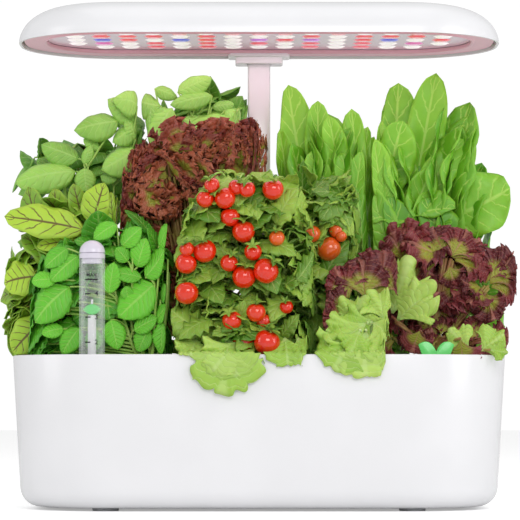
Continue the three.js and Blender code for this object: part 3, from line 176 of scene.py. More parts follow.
def smoothed(mesh, sharp=None):
    """Shades every face smooth, and keeps edges beyond the sharp angle crisp."""
    mesh.polygons.foreach_set("use_smooth", np.ones(len(mesh.polygons), bool))
    if sharp:
        mesh.set_sharp_from_angle(angle=sharp)


def new_piece(name, mesh_data, body, look, node=None, sharp=None, uv=None, tone=None, tint=None):
    """One object of the garden, riding on a body and standing for a node.

    uv, tone and tint hold a value for each vertex.
    """
    vertices, quads = mesh_data
    mesh = bpy.data.meshes.new(name)
    mesh.vertices.add(len(vertices))
    mesh.vertices.foreach_set("co", vertices.astype(np.float32).ravel())
    mesh.loops.add(quads.size)
    mesh.loops.foreach_set("vertex_index", quads.astype(np.int32).ravel())
    mesh.polygons.add(len(quads))
    mesh.polygons.foreach_set("loop_start", np.arange(len(quads), dtype=np.int32) * quads.shape[1])
    mesh.update(calc_edges=True)
    if uv is not None:
        layer = mesh.uv_layers.new(name="blade")
        layer.data.foreach_set("uv", uv[quads.ravel()].astype(np.float32).ravel())
    if tone is not None:
        mesh.attributes.new("tone", "FLOAT", "POINT").data.foreach_set("value", tone.astype(np.float32))
    if tint is not None:
        layer = mesh.attributes.new("tint", "FLOAT_COLOR", "POINT")
        opaque = np.concatenate([tint, np.ones((len(tint), 1))], axis=1)
        layer.data.foreach_set("color", opaque.astype(np.float32).ravel())
    merge_doubles(mesh)
    smoothed(mesh, sharp)
    mesh.materials.append(LOOKS[look])
    piece = new_object(name, mesh)
    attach(piece, body)
    if node:
        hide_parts(node)
    return piece


def merge_doubles(mesh):
    """Closes the poles and seams of a mesh by merging points that share a place."""
    shape = bmesh.new()
    shape.from_mesh(mesh)
    bmesh.ops.remove_doubles(shape, verts=shape.verts, dist=MERGE_DISTANCE)
    shape.to_mesh(mesh)
    shape.free()


def refined_copy(node, look, name=None, edge=None):
    """The CAD node's own shape, merged and with rounded edges, standing for the node."""
    source = NODES[node]
    mesh = source.data.copy()
    mesh.materials.clear()
    mesh.materials.append(LOOKS[look])
    merge_doubles(mesh)
    smoothed(mesh, SHARP_ANGLE)
    piece = new_object(name or f"{node}_finish", mesh)
    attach(piece, source["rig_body"])
    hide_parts(node)
    bevel = piece.modifiers.new("edges", "BEVEL")
    bevel.width = edge * MM if edge else sizes().edge_radius
    bevel.segments = 2
    bevel.limit_method = "ANGLE"
    bevel.angle_limit = SHARP_ANGLE
    bevel.harden_normals = True


def box_of(node):
    """A node's lowest and highest corner, in millimetres."""
    return [np.array(corner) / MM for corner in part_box(node)]


def unit(vectors):
    return vectors / np.maximum(np.linalg.norm(vectors, axis=-1, keepdims=True), TINY)


def arc_of(start, bend, end, t):
    """The curve (1-t)^2 start + 2t(1-t) bend + t^2 end."""
    return (1 - t) ** 2 * start + 2 * t * (1 - t) * bend + t**2 * end


def round_angles(sides):
    return np.linspace(0, FULL_TURN, sides, endpoint=False)


def tubes(path, radius, sides=8):
    """Round tubes along many paths at once: path is tubes x points x 3 and radius tubes x points.

    Each ring lies square to the path: the path's point plus radius times cosine and sine along two
    directions square to its tangent. The ends close to the path's own end points.
    """
    tangent = unit(np.gradient(path, axis=1))
    helper = np.where(np.abs(tangent[..., 2:3]) > STEEP_SHARE, np.array([1.0, 0, 0]), UP)
    first = unit(np.cross(tangent, helper))
    second = np.cross(tangent, first)
    angle = round_angles(sides)[:, None]
    around = first[:, :, None] * np.cos(angle) + second[:, :, None] * np.sin(angle)
    rings = path[:, :, None] + around * radius[:, :, None, None]
    start = np.repeat(path[:, :1, None], sides, axis=2)
    end = np.repeat(path[:, -1:, None], sides, axis=2)
    return sheets_mesh(np.concatenate([start, rings, end], axis=1), wrap=True)


def bow(start, end, lift, share):
    """Points of many arcs: the straight line from start to end plus lift times 4 s (1 - s)."""
    s = share[None, :, None]
    return start[:, None] * (1 - s) + end[:, None] * s + lift * 4 * s * (1 - s)


def rounded_loft(size, profile, centre=(0, 0), steps=24):
    """A rounded rectangle carried through a profile of (inset, z) pairs, from millimetres to metres.

    The size gives its half widths and its corner's radius. Each level is the four corner arcs, drawn
    in by the inset: corner centre plus (radius - inset) times the direction.
    """
    half_x, half_y, radius = size
    sign = np.array([[1, 1], [-1, 1], [-1, -1], [1, -1]])
    corner = np.repeat(sign * [half_x - radius, half_y - radius], steps + 1, axis=0)
    angle = (np.arange(4)[:, None] + np.linspace(0, 1, steps + 1)).ravel() * QUARTER
    direction = np.stack([np.cos(angle), np.sin(angle)], axis=1)
    inset, z = np.array(profile, float).T
    plan = corner[None] + (radius - inset)[:, None, None] * direction[None] + np.array(centre)
    level = np.broadcast_to(z[:, None, None], (len(z), len(angle), 1))
    return np.concatenate([plan, level], axis=2)[None] * MM


def capped(loft):
    """A loft whose first and last level are closed flat, to the middle of the level."""
    ends = [level.mean(axis=2, keepdims=True) for level in (loft[:, :1], loft[:, -1:])]
    first, last = (np.repeat(middle, loft.shape[2], axis=2) for middle in ends)
    return np.concatenate([first, loft, last], axis=1)


def turned(profile, centre, sides=48):
    """A profile of (radius, z) pairs turned about an upright line, from millimetres to metres."""
    radius, z = np.array(profile, float).T
    angle = round_angles(sides)
    x = centre[0] + radius[:, None] * np.cos(angle)
    y = centre[1] + radius[:, None] * np.sin(angle)
    level = np.broadcast_to(z[:, None], x.shape)
    return np.stack([x, y, level], axis=-1)[None] * MM


# Values and nodes of a material


class Wire:
    """A value in a material's tree: sums and products written with it become math nodes."""

    def __init__(self, tree, node, output=0):
        self.tree = tree
        self.socket = node.outputs[output]

    def worked(self, operation, first, second=None):
        made = add_node(self.tree, "ShaderNodeMath", operation=operation)
        for socket, value in zip(made.inputs, (first, second)):
            feed(self.tree, socket, value)
        return Wire(self.tree, made)

    def __add__(self, other):
        return self.worked("ADD", self, other)

    def __radd__(self, other):
        return self.worked("ADD", other, self)

    def __sub__(self, other):
        return self.worked("SUBTRACT", self, other)

    def __rsub__(self, other):
        return self.worked("SUBTRACT", other, self)

    def __mul__(self, other):
        return self.worked("MULTIPLY", self, other)

    def __pow__(self, other):
        return self.worked("POWER", self, other)

    def __abs__(self):
        return self.worked("ABSOLUTE", self)

    def fract(self):
        return self.worked("FRACT", self)

    def at_most(self, other):
        return self.worked("MINIMUM", self, other)

    def at_least(self, other):
        return self.worked("MAXIMUM", self, other)


def feed(tree, socket, value):
    """Gives an input a wire, a number or a colour."""
    if isinstance(value, Wire):
        tree.links.new(value.socket, socket)
    elif isinstance(value, (float, int)):
        socket.default_value = value
    elif value is not None:
        socket.default_value = (*value, 1)


def fill(tree, node, **values):
    """Feeds the named inputs of a node; an underscore stands for a space."""
    for title, value in values.items():
        feed(tree, node.inputs[title.replace("_", " ")], value)
    return node


def add_node(tree, kind, **settings):
    made = tree.nodes.new(kind)
    for name, value in settings.items():
        setattr(made, name, value)
    return made


def between(tree, value, low, high):
    """0 below low, 1 above high, and smooth between them."""
    made = add_node(tree, "ShaderNodeMapRange", interpolation_type="SMOOTHSTEP")
    return Wire(tree, fill(tree, made, Value=value, From_Min=low, From_Max=high), "Result")


def mixed(tree, factor, first, second):
    """Two colours mixed; each may be a wire or a colour."""
    made = add_node(tree, "ShaderNodeMix", data_type="RGBA")
    factor_input, first_input, second_input = made.inputs[0], made.inputs[6], made.inputs[7]
    for socket, value in ((factor_input, factor), (first_input, first), (second_input, second)):
        feed(tree, socket, value)
    return Wire(tree, made, 2)


def own_place(tree):
    """The place of a point in its object's own coordinates."""
    return Wire(tree, add_node(tree, "ShaderNodeTexCoord"), "Object")


def noise(tree, scale, detail=3.0, roughness=0.5):
    """Noise in the object's own coordinates, between 0 and 1."""
    made = add_node(tree, "ShaderNodeTexNoise")
    fill(tree, made, Vector=own_place(tree), Scale=scale, Detail=detail, Roughness=roughness)
    return Wire(tree, made, "Fac")


def attribute(tree, name, output="Fac"):
    return Wire(tree, add_node(tree, "ShaderNodeAttribute", attribute_name=name), output)


def blade_map(tree):
    """The leaf's own map: across it and along it."""
    split = add_node(tree, "ShaderNodeSeparateXYZ")
    feed(tree, split.inputs[0], Wire(tree, add_node(tree, "ShaderNodeUVMap", uv_map="blade"), "UV"))
    return Wire(tree, split, "X"), Wire(tree, split, "Y")


def new_group(name, colour_inputs, number_inputs, outputs):
    """A shader node group with its wires in: inputs and outputs are named by their titles."""
    tree = bpy.data.node_groups.new(name, "ShaderNodeTree")
    for title in colour_inputs:
        tree.interface.new_socket(title, in_out="INPUT", socket_type="NodeSocketColor")
    for title in number_inputs:
        tree.interface.new_socket(title, in_out="INPUT", socket_type="NodeSocketFloat")
    for title in outputs:
        kind = "NodeSocketColor" if title == "Colour" else "NodeSocketFloat"
        tree.interface.new_socket(title, in_out="OUTPUT", socket_type=kind)
    given = tree.nodes.new("NodeGroupInput")
    wires = {title: Wire(tree, given, title) for title in (*colour_inputs, *number_inputs)}
    return tree, wires, tree.nodes.new("NodeGroupOutput")


# Shared effects: shares and scales of their noise


MOULDING = {"broad_scale": 14.0, "broad_detail": 2.0, "fine_scale": 420.0, "fine_detail": 4.0,
            "fine_roughness": 0.6, "drift": (0.35, 0.65), "broad_share": 0.6, "fine_share": 0.4}
BLADE = {"middle": 0.5, "wobble_scale": 160.0, "wobble_share": 0.10, "slant_share": 0.22,
         "vein": (0.80, 0.98), "vein_fade": (1.0, 0.55), "rib": (0.10, 0.03), "mottle_scale": 90.0,
         "mottle_detail": 4.0, "mottle_share": 0.5, "heart_blur": 0.12, "edge": (0.72, 1.0),
         "grain_scale": 700.0, "grain_share": 0.25, "sunk_share": 0.7, "gloss": 0.32, "gloss_scale": 240.0,
         "gloss_share": 0.25}
GROUPS = {}
LOOKS = {}


def moulding_group():
    """Moulded plastic: its colour and gloss drift a little, and its surface has a fine swell."""
    m = MOULDING
    tree, given, made = new_group(
        "Moulded surface", ("Colour", "Tint"), ("Gloss Low", "Gloss High"), ("Colour", "Roughness", "Height")
    )
    broad = noise(tree, m["broad_scale"], m["broad_detail"])
    fine = noise(tree, m["fine_scale"], m["fine_detail"], m["fine_roughness"])
    colour = mixed(tree, between(tree, broad, *m["drift"]), given["Colour"], given["Tint"])
    gloss = given["Gloss Low"] + (given["Gloss High"] - given["Gloss Low"]) * fine
    fill(tree, made, Colour=colour, Roughness=gloss, Height=broad * m["broad_share"] + fine * m["fine_share"])
    return tree


def leaf_group():
    """A leaf's blade, from its own map: u runs across it with the rib at one half, v along it."""
    b = BLADE
    tree, given, made = new_group(
        "Leaf blade", ("Blade", "Young", "Vein", "Edge", "Heart"),
        ("Vein Pairs", "Vein Strength", "Edge Strength", "Heart Reach"), ("Colour", "Height", "Roughness"),
    )
    across, along = blade_map(tree)
    side = abs(across - b["middle"]) * 2
    wobble = (noise(tree, b["wobble_scale"]) - b["middle"]) * b["wobble_share"]
    phase = (along - side * b["slant_share"] + wobble) * given["Vein Pairs"]
    peak = abs(phase.fract() - b["middle"]) * 2
    side_veins = between(tree, peak, *b["vein"]) * between(tree, side, *b["vein_fade"])
    veins = between(tree, side, *b["rib"]).at_least(side_veins)
    mottle = (noise(tree, b["mottle_scale"], b["mottle_detail"]) - b["middle"]) * b["mottle_share"]
    # The tone mixes towards the pale colour: at random per leaf, and on pieces with near leaves as painted
    # light in front and painted shade behind.
    age_and_painted_light = attribute(tree, "tone") + mottle
    blade = mixed(tree, between(tree, age_and_painted_light, 0, 1), given["Blade"], given["Young"])
    heart_edge = given["Heart Reach"] - (along + wobble)
    heart = between(tree, heart_edge, -b["heart_blur"], b["heart_blur"])
    blade = mixed(tree, heart, blade, given["Heart"])
    blade = mixed(tree, veins * given["Vein Strength"], blade, given["Vein"])
    blade = mixed(tree, between(tree, side, *b["edge"]) * given["Edge Strength"], blade, given["Edge"])
    grain = noise(tree, b["grain_scale"]) * b["grain_share"]
    swell = 1 - peak**2 + grain - veins * b["sunk_share"]
    gloss = b["gloss"] + noise(tree, b["gloss_scale"]) * b["gloss_share"]
    fill(tree, made, Colour=blade, Height=swell, Roughness=gloss)
    return tree


def effect(tree, name, **values):
    """Places a shared effect in a material with its own values, and gives its wires out."""
    made = fill(tree, add_node(tree, "ShaderNodeGroup", node_tree=GROUPS[name]), **values)
    return {output.name: Wire(tree, made, output.name) for output in made.outputs}


def new_material(name):
    look = bpy.data.materials.new(name)
    look.use_nodes = True
    return look, look.node_tree, look.node_tree.nodes["Principled BSDF"]


def bump(tree, shader, height, strength, distance):
    """Height as a bump; the distance is in millimetres."""
    made = add_node(tree, "ShaderNodeBump")
    fill(tree, made, Strength=strength, Distance=distance * MM, Height=height)
    fill(tree, shader, Normal=Wire(tree, made, "Normal"))


def scaled(colour, factor):
    return tuple(min(1.0, c * factor) for c in colour)


COAT_ROUGHNESS = 0.2
SWELL_DEPTH = 0.2
LEAF_RELIEF_DEPTH = 0.5
CLEAR = {"gloss": (0.03, 0.09), "tint": 0.98, "blend": 0.25, "rim_share": 0.5, "index": 1.49}
FLESH = {"leaf": (0.12, 1.5), "stalk": (0.1, 1.0), "tomato": (0.08, 2.0)}
STALK = {"scale": 60.0, "drift": (0.3, 0.7), "roughness": 0.5, "rib_scale": 900.0, "relief": 0.3,
         "depth": 0.2}
SKIN = {"orange": (0.78, 0.14, 0.015), "shoulder": (0.75, 0.28, 0.05), "shoulder_scale": 120.0,
        "shoulder_noise_share": 0.25, "shoulder_reach": (0.95, 1.2), "shoulder_share": 0.45, "gloss": 0.10,
        "gloss_scale": 300.0, "gloss_share": 0.08, "coat": 0.6, "pore_scale": 800.0, "pore_detail": 2.0,
        "relief": 0.05, "depth": 0.1}
FOAM = {"cell_scale": 700.0, "pit": (0.15, 0.5), "pit_shade_share": 0.55, "algae": (0.2, 0.3, 0.08),
        "algae_scale": 60.0, "algae_reach": (0.5, 0.7), "algae_share": 0.5, "roughness": 0.9, "relief": 0.6,
        "depth": 0.4}
GLASS = {"pale": (1, 0.95, 0.97), "pale_share": 0.3, "gloss": 0.08, "gloss_scale": 90.0, "gloss_share": 0.08,
         "glow": 0.4, "coat": 0.6}


def soft_inside(tree, shader, kind):
    """Light that enters a leaf, a stalk or a tomato and leaves near by."""
    share, reach = FLESH[kind]
    fill(tree, shader, Subsurface_Weight=share, Subsurface_Scale=reach * MM)


def moulded_base(tree, shader, colour, tint, gloss):
    """The moulded surface's colour and gloss on a shader; gives its height."""
    surface = effect(tree, "Moulded surface", Colour=colour, Tint=scaled(colour, tint), Gloss_Low=gloss[0],
                     Gloss_High=gloss[1])
    fill(tree, shader, Base_Color=surface["Colour"], Roughness=surface["Roughness"])
    return surface["Height"]


def plastic(name, colour, gloss=(0.2, 0.3), coat=0.3, tint=0.97, swell=0.04):
    """Moulded plastic with a drift in colour and gloss."""
    look, tree, shader = new_material(name)
    height = moulded_base(tree, shader, colour, tint, gloss)
    fill(tree, shader, Coat_Weight=coat, Coat_Roughness=COAT_ROUGHNESS)
    bump(tree, shader, height, swell, SWELL_DEPTH)
    return look


def clear_plastic(name, colour, alpha):
    """Clear plastic with a faint haze: thin walls that show what is behind them."""
    look, tree, shader = new_material(name)
    moulded_base(tree, shader, colour, CLEAR["tint"], CLEAR["gloss"])
    facing = fill(tree, add_node(tree, "ShaderNodeLayerWeight"), Blend=CLEAR["blend"])
    rim = alpha + Wire(tree, facing, "Facing") * CLEAR["rim_share"]
    fill(tree, shader, Alpha=rim.at_most(1.0), IOR=CLEAR["index"])
    return look


def leaf_look(name, blade, young_and_lit, vein, edge, heart, pairs, veins=0.5, edges=0.3, reach=0.0, relief=0.5):
    """A leaf: blade, veins, edge and heart in their own colours, quilted between the veins."""
    look, tree, shader = new_material(name)
    surface = effect(tree, "Leaf blade", Blade=blade, Young=young_and_lit, Vein=vein, Edge=edge, Heart=heart,
                     Vein_Pairs=pairs, Vein_Strength=veins, Edge_Strength=edges, Heart_Reach=reach)
    fill(tree, shader, Base_Color=surface["Colour"], Roughness=surface["Roughness"])
    soft_inside(tree, shader, "leaf")
    bump(tree, shader, surface["Height"], relief, LEAF_RELIEF_DEPTH)
    return look


def stalk_look(name, colour, tip_colour):
    """A stalk or stem: fine ribs along it and a colour that drifts."""
    look, tree, shader = new_material(name)
    drift = between(tree, noise(tree, STALK["scale"]), *STALK["drift"])
    fill(tree, shader, Base_Color=mixed(tree, drift, colour, tip_colour), Roughness=STALK["roughness"])
    soft_inside(tree, shader, "stalk")
    bump(tree, shader, noise(tree, STALK["rib_scale"]), STALK["relief"], STALK["depth"])
    return look


def tomato_look(name, ripe):
    """Glossy tomato skin: orange towards the stalk and on the less ripe fruit."""
    look, tree, shader = new_material(name)
    _, along = blade_map(tree)
    shoulder = along + noise(tree, SKIN["shoulder_scale"]) * SKIN["shoulder_noise_share"]
    orange = mixed(tree, attribute(tree, "tone"), ripe, SKIN["orange"])
    paled = between(tree, shoulder, *SKIN["shoulder_reach"]) * SKIN["shoulder_share"]
    gloss = SKIN["gloss"] + noise(tree, SKIN["gloss_scale"]) * SKIN["gloss_share"]
    fill(tree, shader, Base_Color=mixed(tree, paled, orange, SKIN["shoulder"]), Roughness=gloss,
         Coat_Weight=SKIN["coat"])
    soft_inside(tree, shader, "tomato")
    bump(tree, shader, noise(tree, SKIN["pore_scale"], SKIN["pore_detail"]), SKIN["relief"], SKIN["depth"])
    return look


def foam_look(colour):
    """Open foam: pits darkened by painted shade between pale cell walls, and green where algae settle."""
    look, tree, shader = new_material("Root foam")
    cells = add_node(tree, "ShaderNodeTexVoronoi")
    fill(tree, cells, Scale=FOAM["cell_scale"], Vector=own_place(tree))
    pit = between(tree, Wire(tree, cells, "Distance"), *FOAM["pit"])
    # Painted shade darkens the pits.
    cell = mixed(tree, pit, scaled(colour, FOAM["pit_shade_share"]), colour)
    algae = between(tree, noise(tree, FOAM["algae_scale"]), *FOAM["algae_reach"]) * FOAM["algae_share"]
    fill(tree, shader, Base_Color=mixed(tree, algae, cell, FOAM["algae"]), Roughness=FOAM["roughness"])
    bump(tree, shader, pit, FOAM["relief"], FOAM["depth"])
    return look


def lens_look():
    """A lamp lens: its own tint from the piece, lit, and paler towards its middle."""
    look, tree, shader = new_material("Lamp lens")
    pale = attribute(tree, "tone") * GLASS["pale_share"]
    lit = mixed(tree, pale, attribute(tree, "tint", "Color"), GLASS["pale"])
    gloss = GLASS["gloss"] + noise(tree, GLASS["gloss_scale"]) * GLASS["gloss_share"]
    fill(tree, shader, Base_Color=lit, Emission_Color=lit, Roughness=gloss, Emission_Strength=GLASS["glow"],
         Coat_Weight=GLASS["coat"])
    return look


SOFT_SHARE = 0.92
BASKET_SHARE = 0.85
CLEAR_ALPHA = 0.05


def make_looks():
    """Every material of the hard pieces, by the name that the pieces use."""
    GROUPS["Moulded surface"] = moulding_group()
    GROUPS["Leaf blade"] = leaf_group()
    c = colours()
    soft, basket = scaled(c.shell, SOFT_SHARE), scaled(c.shell, BASKET_SHARE)
    LOOKS["shell"] = plastic("Glossy white shell", c.shell, gloss=(0.2, 0.28), coat=0.15)
    # The post's material carries painted pink light from the lamp.
    LOOKS["post"] = plastic("Glossy white post with painted lamp glow", c.post, gloss=(0.16, 0.24), coat=0.4)
    LOOKS["deck"] = plastic("White deck", c.shell, gloss=(0.32, 0.42), coat=0.1)
    LOOKS["frame"] = plastic("Lamp frame", c.frame, gloss=(0.3, 0.4), coat=0.2)
    LOOKS["soft_white"] = plastic("Soft white plastic", soft, gloss=(0.38, 0.5), coat=0.0)
    LOOKS["basket"] = plastic("Basket plastic", basket, gloss=(0.4, 0.5), coat=0.0)
    LOOKS["rubber"] = plastic("Foot rubber", c.rubber, gloss=(0.6, 0.75), coat=0.0, swell=0.15)
    LOOKS["black"] = plastic("Black plastic", (0.02, 0.02, 0.022), gloss=(0.3, 0.45), coat=0.1, tint=1.3)
    LOOKS["board"] = plastic("Circuit board", (0.02, 0.14, 0.05), gloss=(0.25, 0.4), coat=0.3, tint=0.8)
    LOOKS["sprout"] = plastic("Sprout green", c.sprout, gloss=(0.22, 0.3), coat=0.3, tint=1.12)
    LOOKS["cap"] = plastic("Gauge cap", (0.74, 0.70, 0.80), gloss=(0.2, 0.3), coat=0.4)
    LOOKS["clear"] = clear_plastic("Clear tube", c.clear, CLEAR_ALPHA)
    LOOKS["marks"] = plastic("Gauge marks", (0.01, 0.01, 0.012), gloss=(0.4, 0.5), coat=0.0)
    LOOKS["foam"] = foam_look(c.foam)
    LOOKS["lens"] = lens_look()
    LOOKS["panel"] = plastic("Lens panel", (0.90, 0.66, 0.82), gloss=(0.15, 0.25), coat=0.6)


# Sizes of the moulded pieces that repeat the CAD's own, in millimetres


TANK = {"half_x": 200, "half_y": 95, "corner": 82, "rim": 124, "under": 2.2, "wall": 2.5, "floor": 3,
        "bottom_round": 16, "rim_round": 0.8, "ledge": 112, "ledge_height": 5, "ledge_width": 3}
TANK_DRAFT = math.tan(math.radians(3.4))
SIDES = ("half_x", "half_y", "corner")
CORNER_STEPS, RIM_STEPS, SHOULDER_STEPS, DOME_STEPS, HOOD_STEPS = 8, 9, 20, 12, 28
SOCKET = {"lip": 2.2, "gap": 0.3, "ahead": 1, "behind": 5}
FOOT_ROUND = 0.5
LAMP = {"half_x": 196.5, "half_y": 91, "corner": 82, "rim": 379, "height": 29, "shoulder": 40, "wall": 2,
        "recess": 381, "frame_inset": 4.3}
BUTTON = {"bore": 6.8, "below": 6, "above": 3, "flange": 8.3, "flange_height": 1.5, "radius": 6.5,
          "bevel": 0.3, "dish_radius": 5.2, "dish": 0.6, "round": 0.4}
PANEL = {"half_x": 173.5, "half_y": 65, "corner": 58, "centre": (0, -5), "under": 383.3, "thickness": 1.5,
         "overlap": 4}
# Share of the way from the lamp's outline to the panel's, and height over the recess
FRAME_BANDS = [(0, 2), (0, 0), (0.3, 0), (0.8, 0), (0.84, -0.2), (0.88, -0.9), (0.93, -1.1), (0.98, -0.9),
               (1, -0.2), (1, 2), (0, 2)]
LENS = {"pitch_x": 21.4, "pitch_y": 22.4, "columns": 15, "rows": 5, "radius": 8, "sides": 20}
# Radius and drop of a lens's rim, then radius and share of the rise over its dome
LENS_RIM = [(8, -0.4), (8, 0), (7.2, 0.15), (6.4, 0.6)]
LENS_DOME = [(5.6, 0.8), (4.2, 1), (2.2, 0.9), (0, 0.8)]
LENS_TINTS = {"W": (1.0, 0.90, 0.93), "R": (0.85, 0.06, 0.12), "B": (0.10, 0.10, 0.70),
              "V": (0.55, 0.15, 0.70), "M": (0.75, 0.10, 0.45)}
LENS_ROWS = ["WRWWRWRRRWRWWRW", "WRRRWRWWWRWRRRW", "WBRWBRWVRVWRBWR", "WMWRWRWRWRWRWMW", "WWWRWRWWWRWRWWW"]
GAUGE = {"centre": (-132.6, -72), "radius": 10.3, "wall": 1.6, "bottom": 19, "top": 200, "lip": 2.2,
         "floor": 1.5, "collar_z": 118.0, "collar": 3, "round": 0.3}
CAP = {"gap": 0.3, "plug_wall": 1.4, "plug_depth": 4, "band": 3.9, "groove": 1.2, "groove_low": 4.0,
       "groove_high": 4.5, "dome": 4.6}
FLOAT = {"gap": 0.5, "top": 80, "rod_radius": 3.4, "rod_top": 155.15, "tip_radius": 0.9, "round": 0.8}
# Word, height and size of the gauge's marks
GAUGE_MARKS = [("MAX", 186.8, 3.8), ("4", 172.0, 5.4), ("3", 153.5, 5.4), ("2", 133.6, 5.4)]
MARK = {"proud": 0.06, "depth": 0.05, "weight": 0.08, "aside": 4.2, "word_over_line": 3.5,
        "long": (-5.2, 5.2), "short": (-5.2, -0.6), "line_steps": 12,
        "line_section": [(0.03, -0.5), (0.1, -0.5), (0.1, 0.5), (0.03, 0.5)]}
PODS = {
    "basil_left": (-140, 44), "basil_right": (-51, 44), "spinach_left": (51, 44), "spinach_right": (140, 44),
    "sorrel": (-140, -2), "frilly_lettuce": (-51, -2), "tomato_right": (51, -2), "red_lettuce": (140, -2),
    "mint": (-88, -48), "tomato_front": (0, -48), "green_lettuce": (88, -48),
}
BASKET = {"flange": 21.5, "flange_low": 117, "flange_top": 118.6, "mouth": 16.6, "end": 12.4, "wall": 1.3,
          "bottom": 74.6, "band_low": 106.6, "band_taper": 0.9, "ring_draft": 0.3, "ring_height": 3,
          "round": 0.5, "ribs": 12, "rib_half_angle": 0.11, "rib_out": 0.25, "rib_foot": 2, "rib_head": 1,
          "sides": 40}
CROWN = 117.8
SPONGE = {"gap": 0.6, "floor_gap": 0.4, "bore": 3.4, "shoulder": 1.2, "crown_inset": 1.6, "round": 1.0,
          "sides": 40}
DRUM_SIDES = 32


def tank_inset(z):
    """How far the drafted wall is drawn in at a height."""
    return (TANK["rim"] - z) * TANK_DRAFT


def rounded_corner(radius, corner_inset, corner_z):
    """The arc that joins a tank's flat bottom to its drafted wall, from the bottom up."""
    turn = np.linspace(0, QUARTER - math.atan(TANK_DRAFT), CORNER_STEPS)
    centre = corner_inset + radius * math.cos(math.atan(TANK_DRAFT))
    return [(centre - radius * math.sin(a), corner_z + radius - radius * math.cos(a)) for a in turn]


def tank_profile():
    """Inset and height round the tub's wall: outside up, over the rim, and down to the floor."""
    under, rim, half_wall, lift = TANK["under"], TANK["rim"], TANK["wall"] / 2, TANK["rim_round"]
    outer = rounded_corner(TANK["bottom_round"], tank_inset(under + TANK["bottom_round"]), under)
    turn = np.linspace(0, math.pi, RIM_STEPS)
    round_rim = [(half_wall - half_wall * math.cos(a), rim - lift + lift * math.sin(a)) for a in turn]
    ledge = TANK["ledge"]
    inside = TANK["wall"] + tank_inset(ledge)
    below = ledge - TANK["ledge_height"]
    foot = TANK["wall"] + tank_inset(below)
    shelf = [(inside, ledge), (inside + TANK["ledge_width"], ledge), (foot, below)]
    floor = under + TANK["floor"]
    inner_round = TANK["bottom_round"] - TANK["wall"]
    inner = rounded_corner(inner_round, TANK["wall"] + tank_inset(floor + inner_round), floor)
    return outer + round_rim + shelf + inner[::-1]


def cut_out(piece, cutter_mesh):
    """Takes a closed shape out of a piece and keeps the result as the piece's mesh."""
    mesh = bpy.data.meshes.new("cutter")
    vertices, quads = cutter_mesh
    mesh.from_pydata(vertices.tolist(), [], quads.tolist())
    merge_doubles(mesh)
    cutter = new_object("cutter", mesh)
    boolean = piece.modifiers.new("cut", "BOOLEAN")
    boolean.operation = "DIFFERENCE"
    boolean.solver = "EXACT"
    boolean.object = cutter
    bpy.context.view_layer.update()
    finished = piece.evaluated_get(bpy.context.evaluated_depsgraph_get())
    result = bpy.data.meshes.new_from_object(finished)
    piece.modifiers.remove(boolean)
    piece.data = result
    smoothed(result, MOULD_SHARP_ANGLE)
    bpy.data.objects.remove(cutter)


def drum(x, y, radius, low, high):
    """A closed upright cylinder in millimetres, as a mesh in metres."""
    profile = [(0, low), (radius, low), (radius, high), (0, high)]
    return sheets_mesh(turned(profile, (x, y), DRUM_SIDES), wrap=True)


def lying_drum(x, z, radius, front, back):
    """A closed cylinder along Y in millimetres, as a mesh in metres."""
    vertices, quads = drum(0, 0, radius, front, back)
    return np.stack([vertices[:, 0] + x * MM, vertices[:, 2], z * MM - vertices[:, 1]], axis=1), quads


def moulded(name, profile, centre, body, look, node, sides=48):
    """A turned piece that stands for a CAD node, from (radius, z) pairs in millimetres."""
    mesh_data = sheets_mesh(turned(profile, centre, sides), wrap=True)
    new_piece(name, mesh_data, body, look, node, MOULD_SHARP_ANGLE)


def softened(profile, radius, count=4):
    """The same (radius, z) profile with each inner corner rounded by quarter-like bends."""
    points = np.array(profile, float)
    made = [points[0]]
    for before, corner, after in zip(points[:-2], points[1:-1], points[2:]):
        into, out = before - corner, after - corner
        reach = min(radius, np.linalg.norm(into) / 2, np.linalg.norm(out) / 2)
        start, end = corner + unit(into) * reach, corner + unit(out) * reach
        made.extend(arc_of(start, corner, end, np.linspace(0, 1, count)[:, None]))
    made.append(points[-1])
    return [tuple(point) for point in made]


# Tank, deck and the pieces in them


def make_tank():
    """The tub: a rounded rectangle carried round its wall's profile and closed at both ends."""
    loft = rounded_loft([TANK[side] for side in SIDES], tank_profile())
    mesh_data = sheets_mesh(capped(loft), wrap=True)
    piece = new_piece("tub", mesh_data, "base", "shell", "water_tank")
    low, high = box_of("power_socket")
    middle = (low + high) / 2
    bore = (high[2] - low[2]) / 2 - SOCKET["lip"] + SOCKET["gap"]
    front, back = low[1] - SOCKET["ahead"], high[1] + SOCKET["behind"]
    cut_out(piece, lying_drum(middle[0], middle[2], bore, front, back))


def make_feet():
    """The four soft pads under the tank."""
    for node in NODES:
        if node.startswith("foot_"):
            low, high = box_of(node)
            radius = (high[0] - low[0]) / 2
            profile = [(0, low[2]), (radius, low[2]), (radius, high[2]), (0, high[2])]
            centre = (low + high)[:2] / 2
            moulded(f"{node}_pad", softened(profile, FOOT_ROUND), centre, "base", "rubber", node, DRUM_SIDES)


def make_baskets():
    """Each net basket: a flanged band, ribs that taper down, and a ring with a floor."""
    b = BASKET
    mouth, end, wall, bottom = b["mouth"], b["end"], b["wall"], b["bottom"]
    band = [(mouth - wall, b["band_low"]), (mouth - b["band_taper"], b["band_low"]), (mouth, b["flange_low"]),
            (b["flange"], b["flange_low"]), (b["flange"], b["flange_top"]), (mouth - wall, b["flange_top"]),
            (mouth - wall, b["band_low"])]
    ring_top = bottom + b["ring_height"]
    floor = [(0, bottom), (end, bottom), (end + b["ring_draft"], ring_top), (end - wall, ring_top),
             (end - wall, bottom + wall), (0, bottom + wall)]
    for name, centre in PODS.items():
        meshes = [
            sheets_mesh(turned(softened(profile, b["round"], 3), centre, b["sides"]), wrap=True)
            for profile in (band, floor)
        ]
        mesh_data = joined(*meshes, basket_ribs(centre))
        new_piece(f"net_{name}", mesh_data, f"pod_{name}", "basket", f"basket_{name}",
                  MOULD_SHARP_ANGLE)


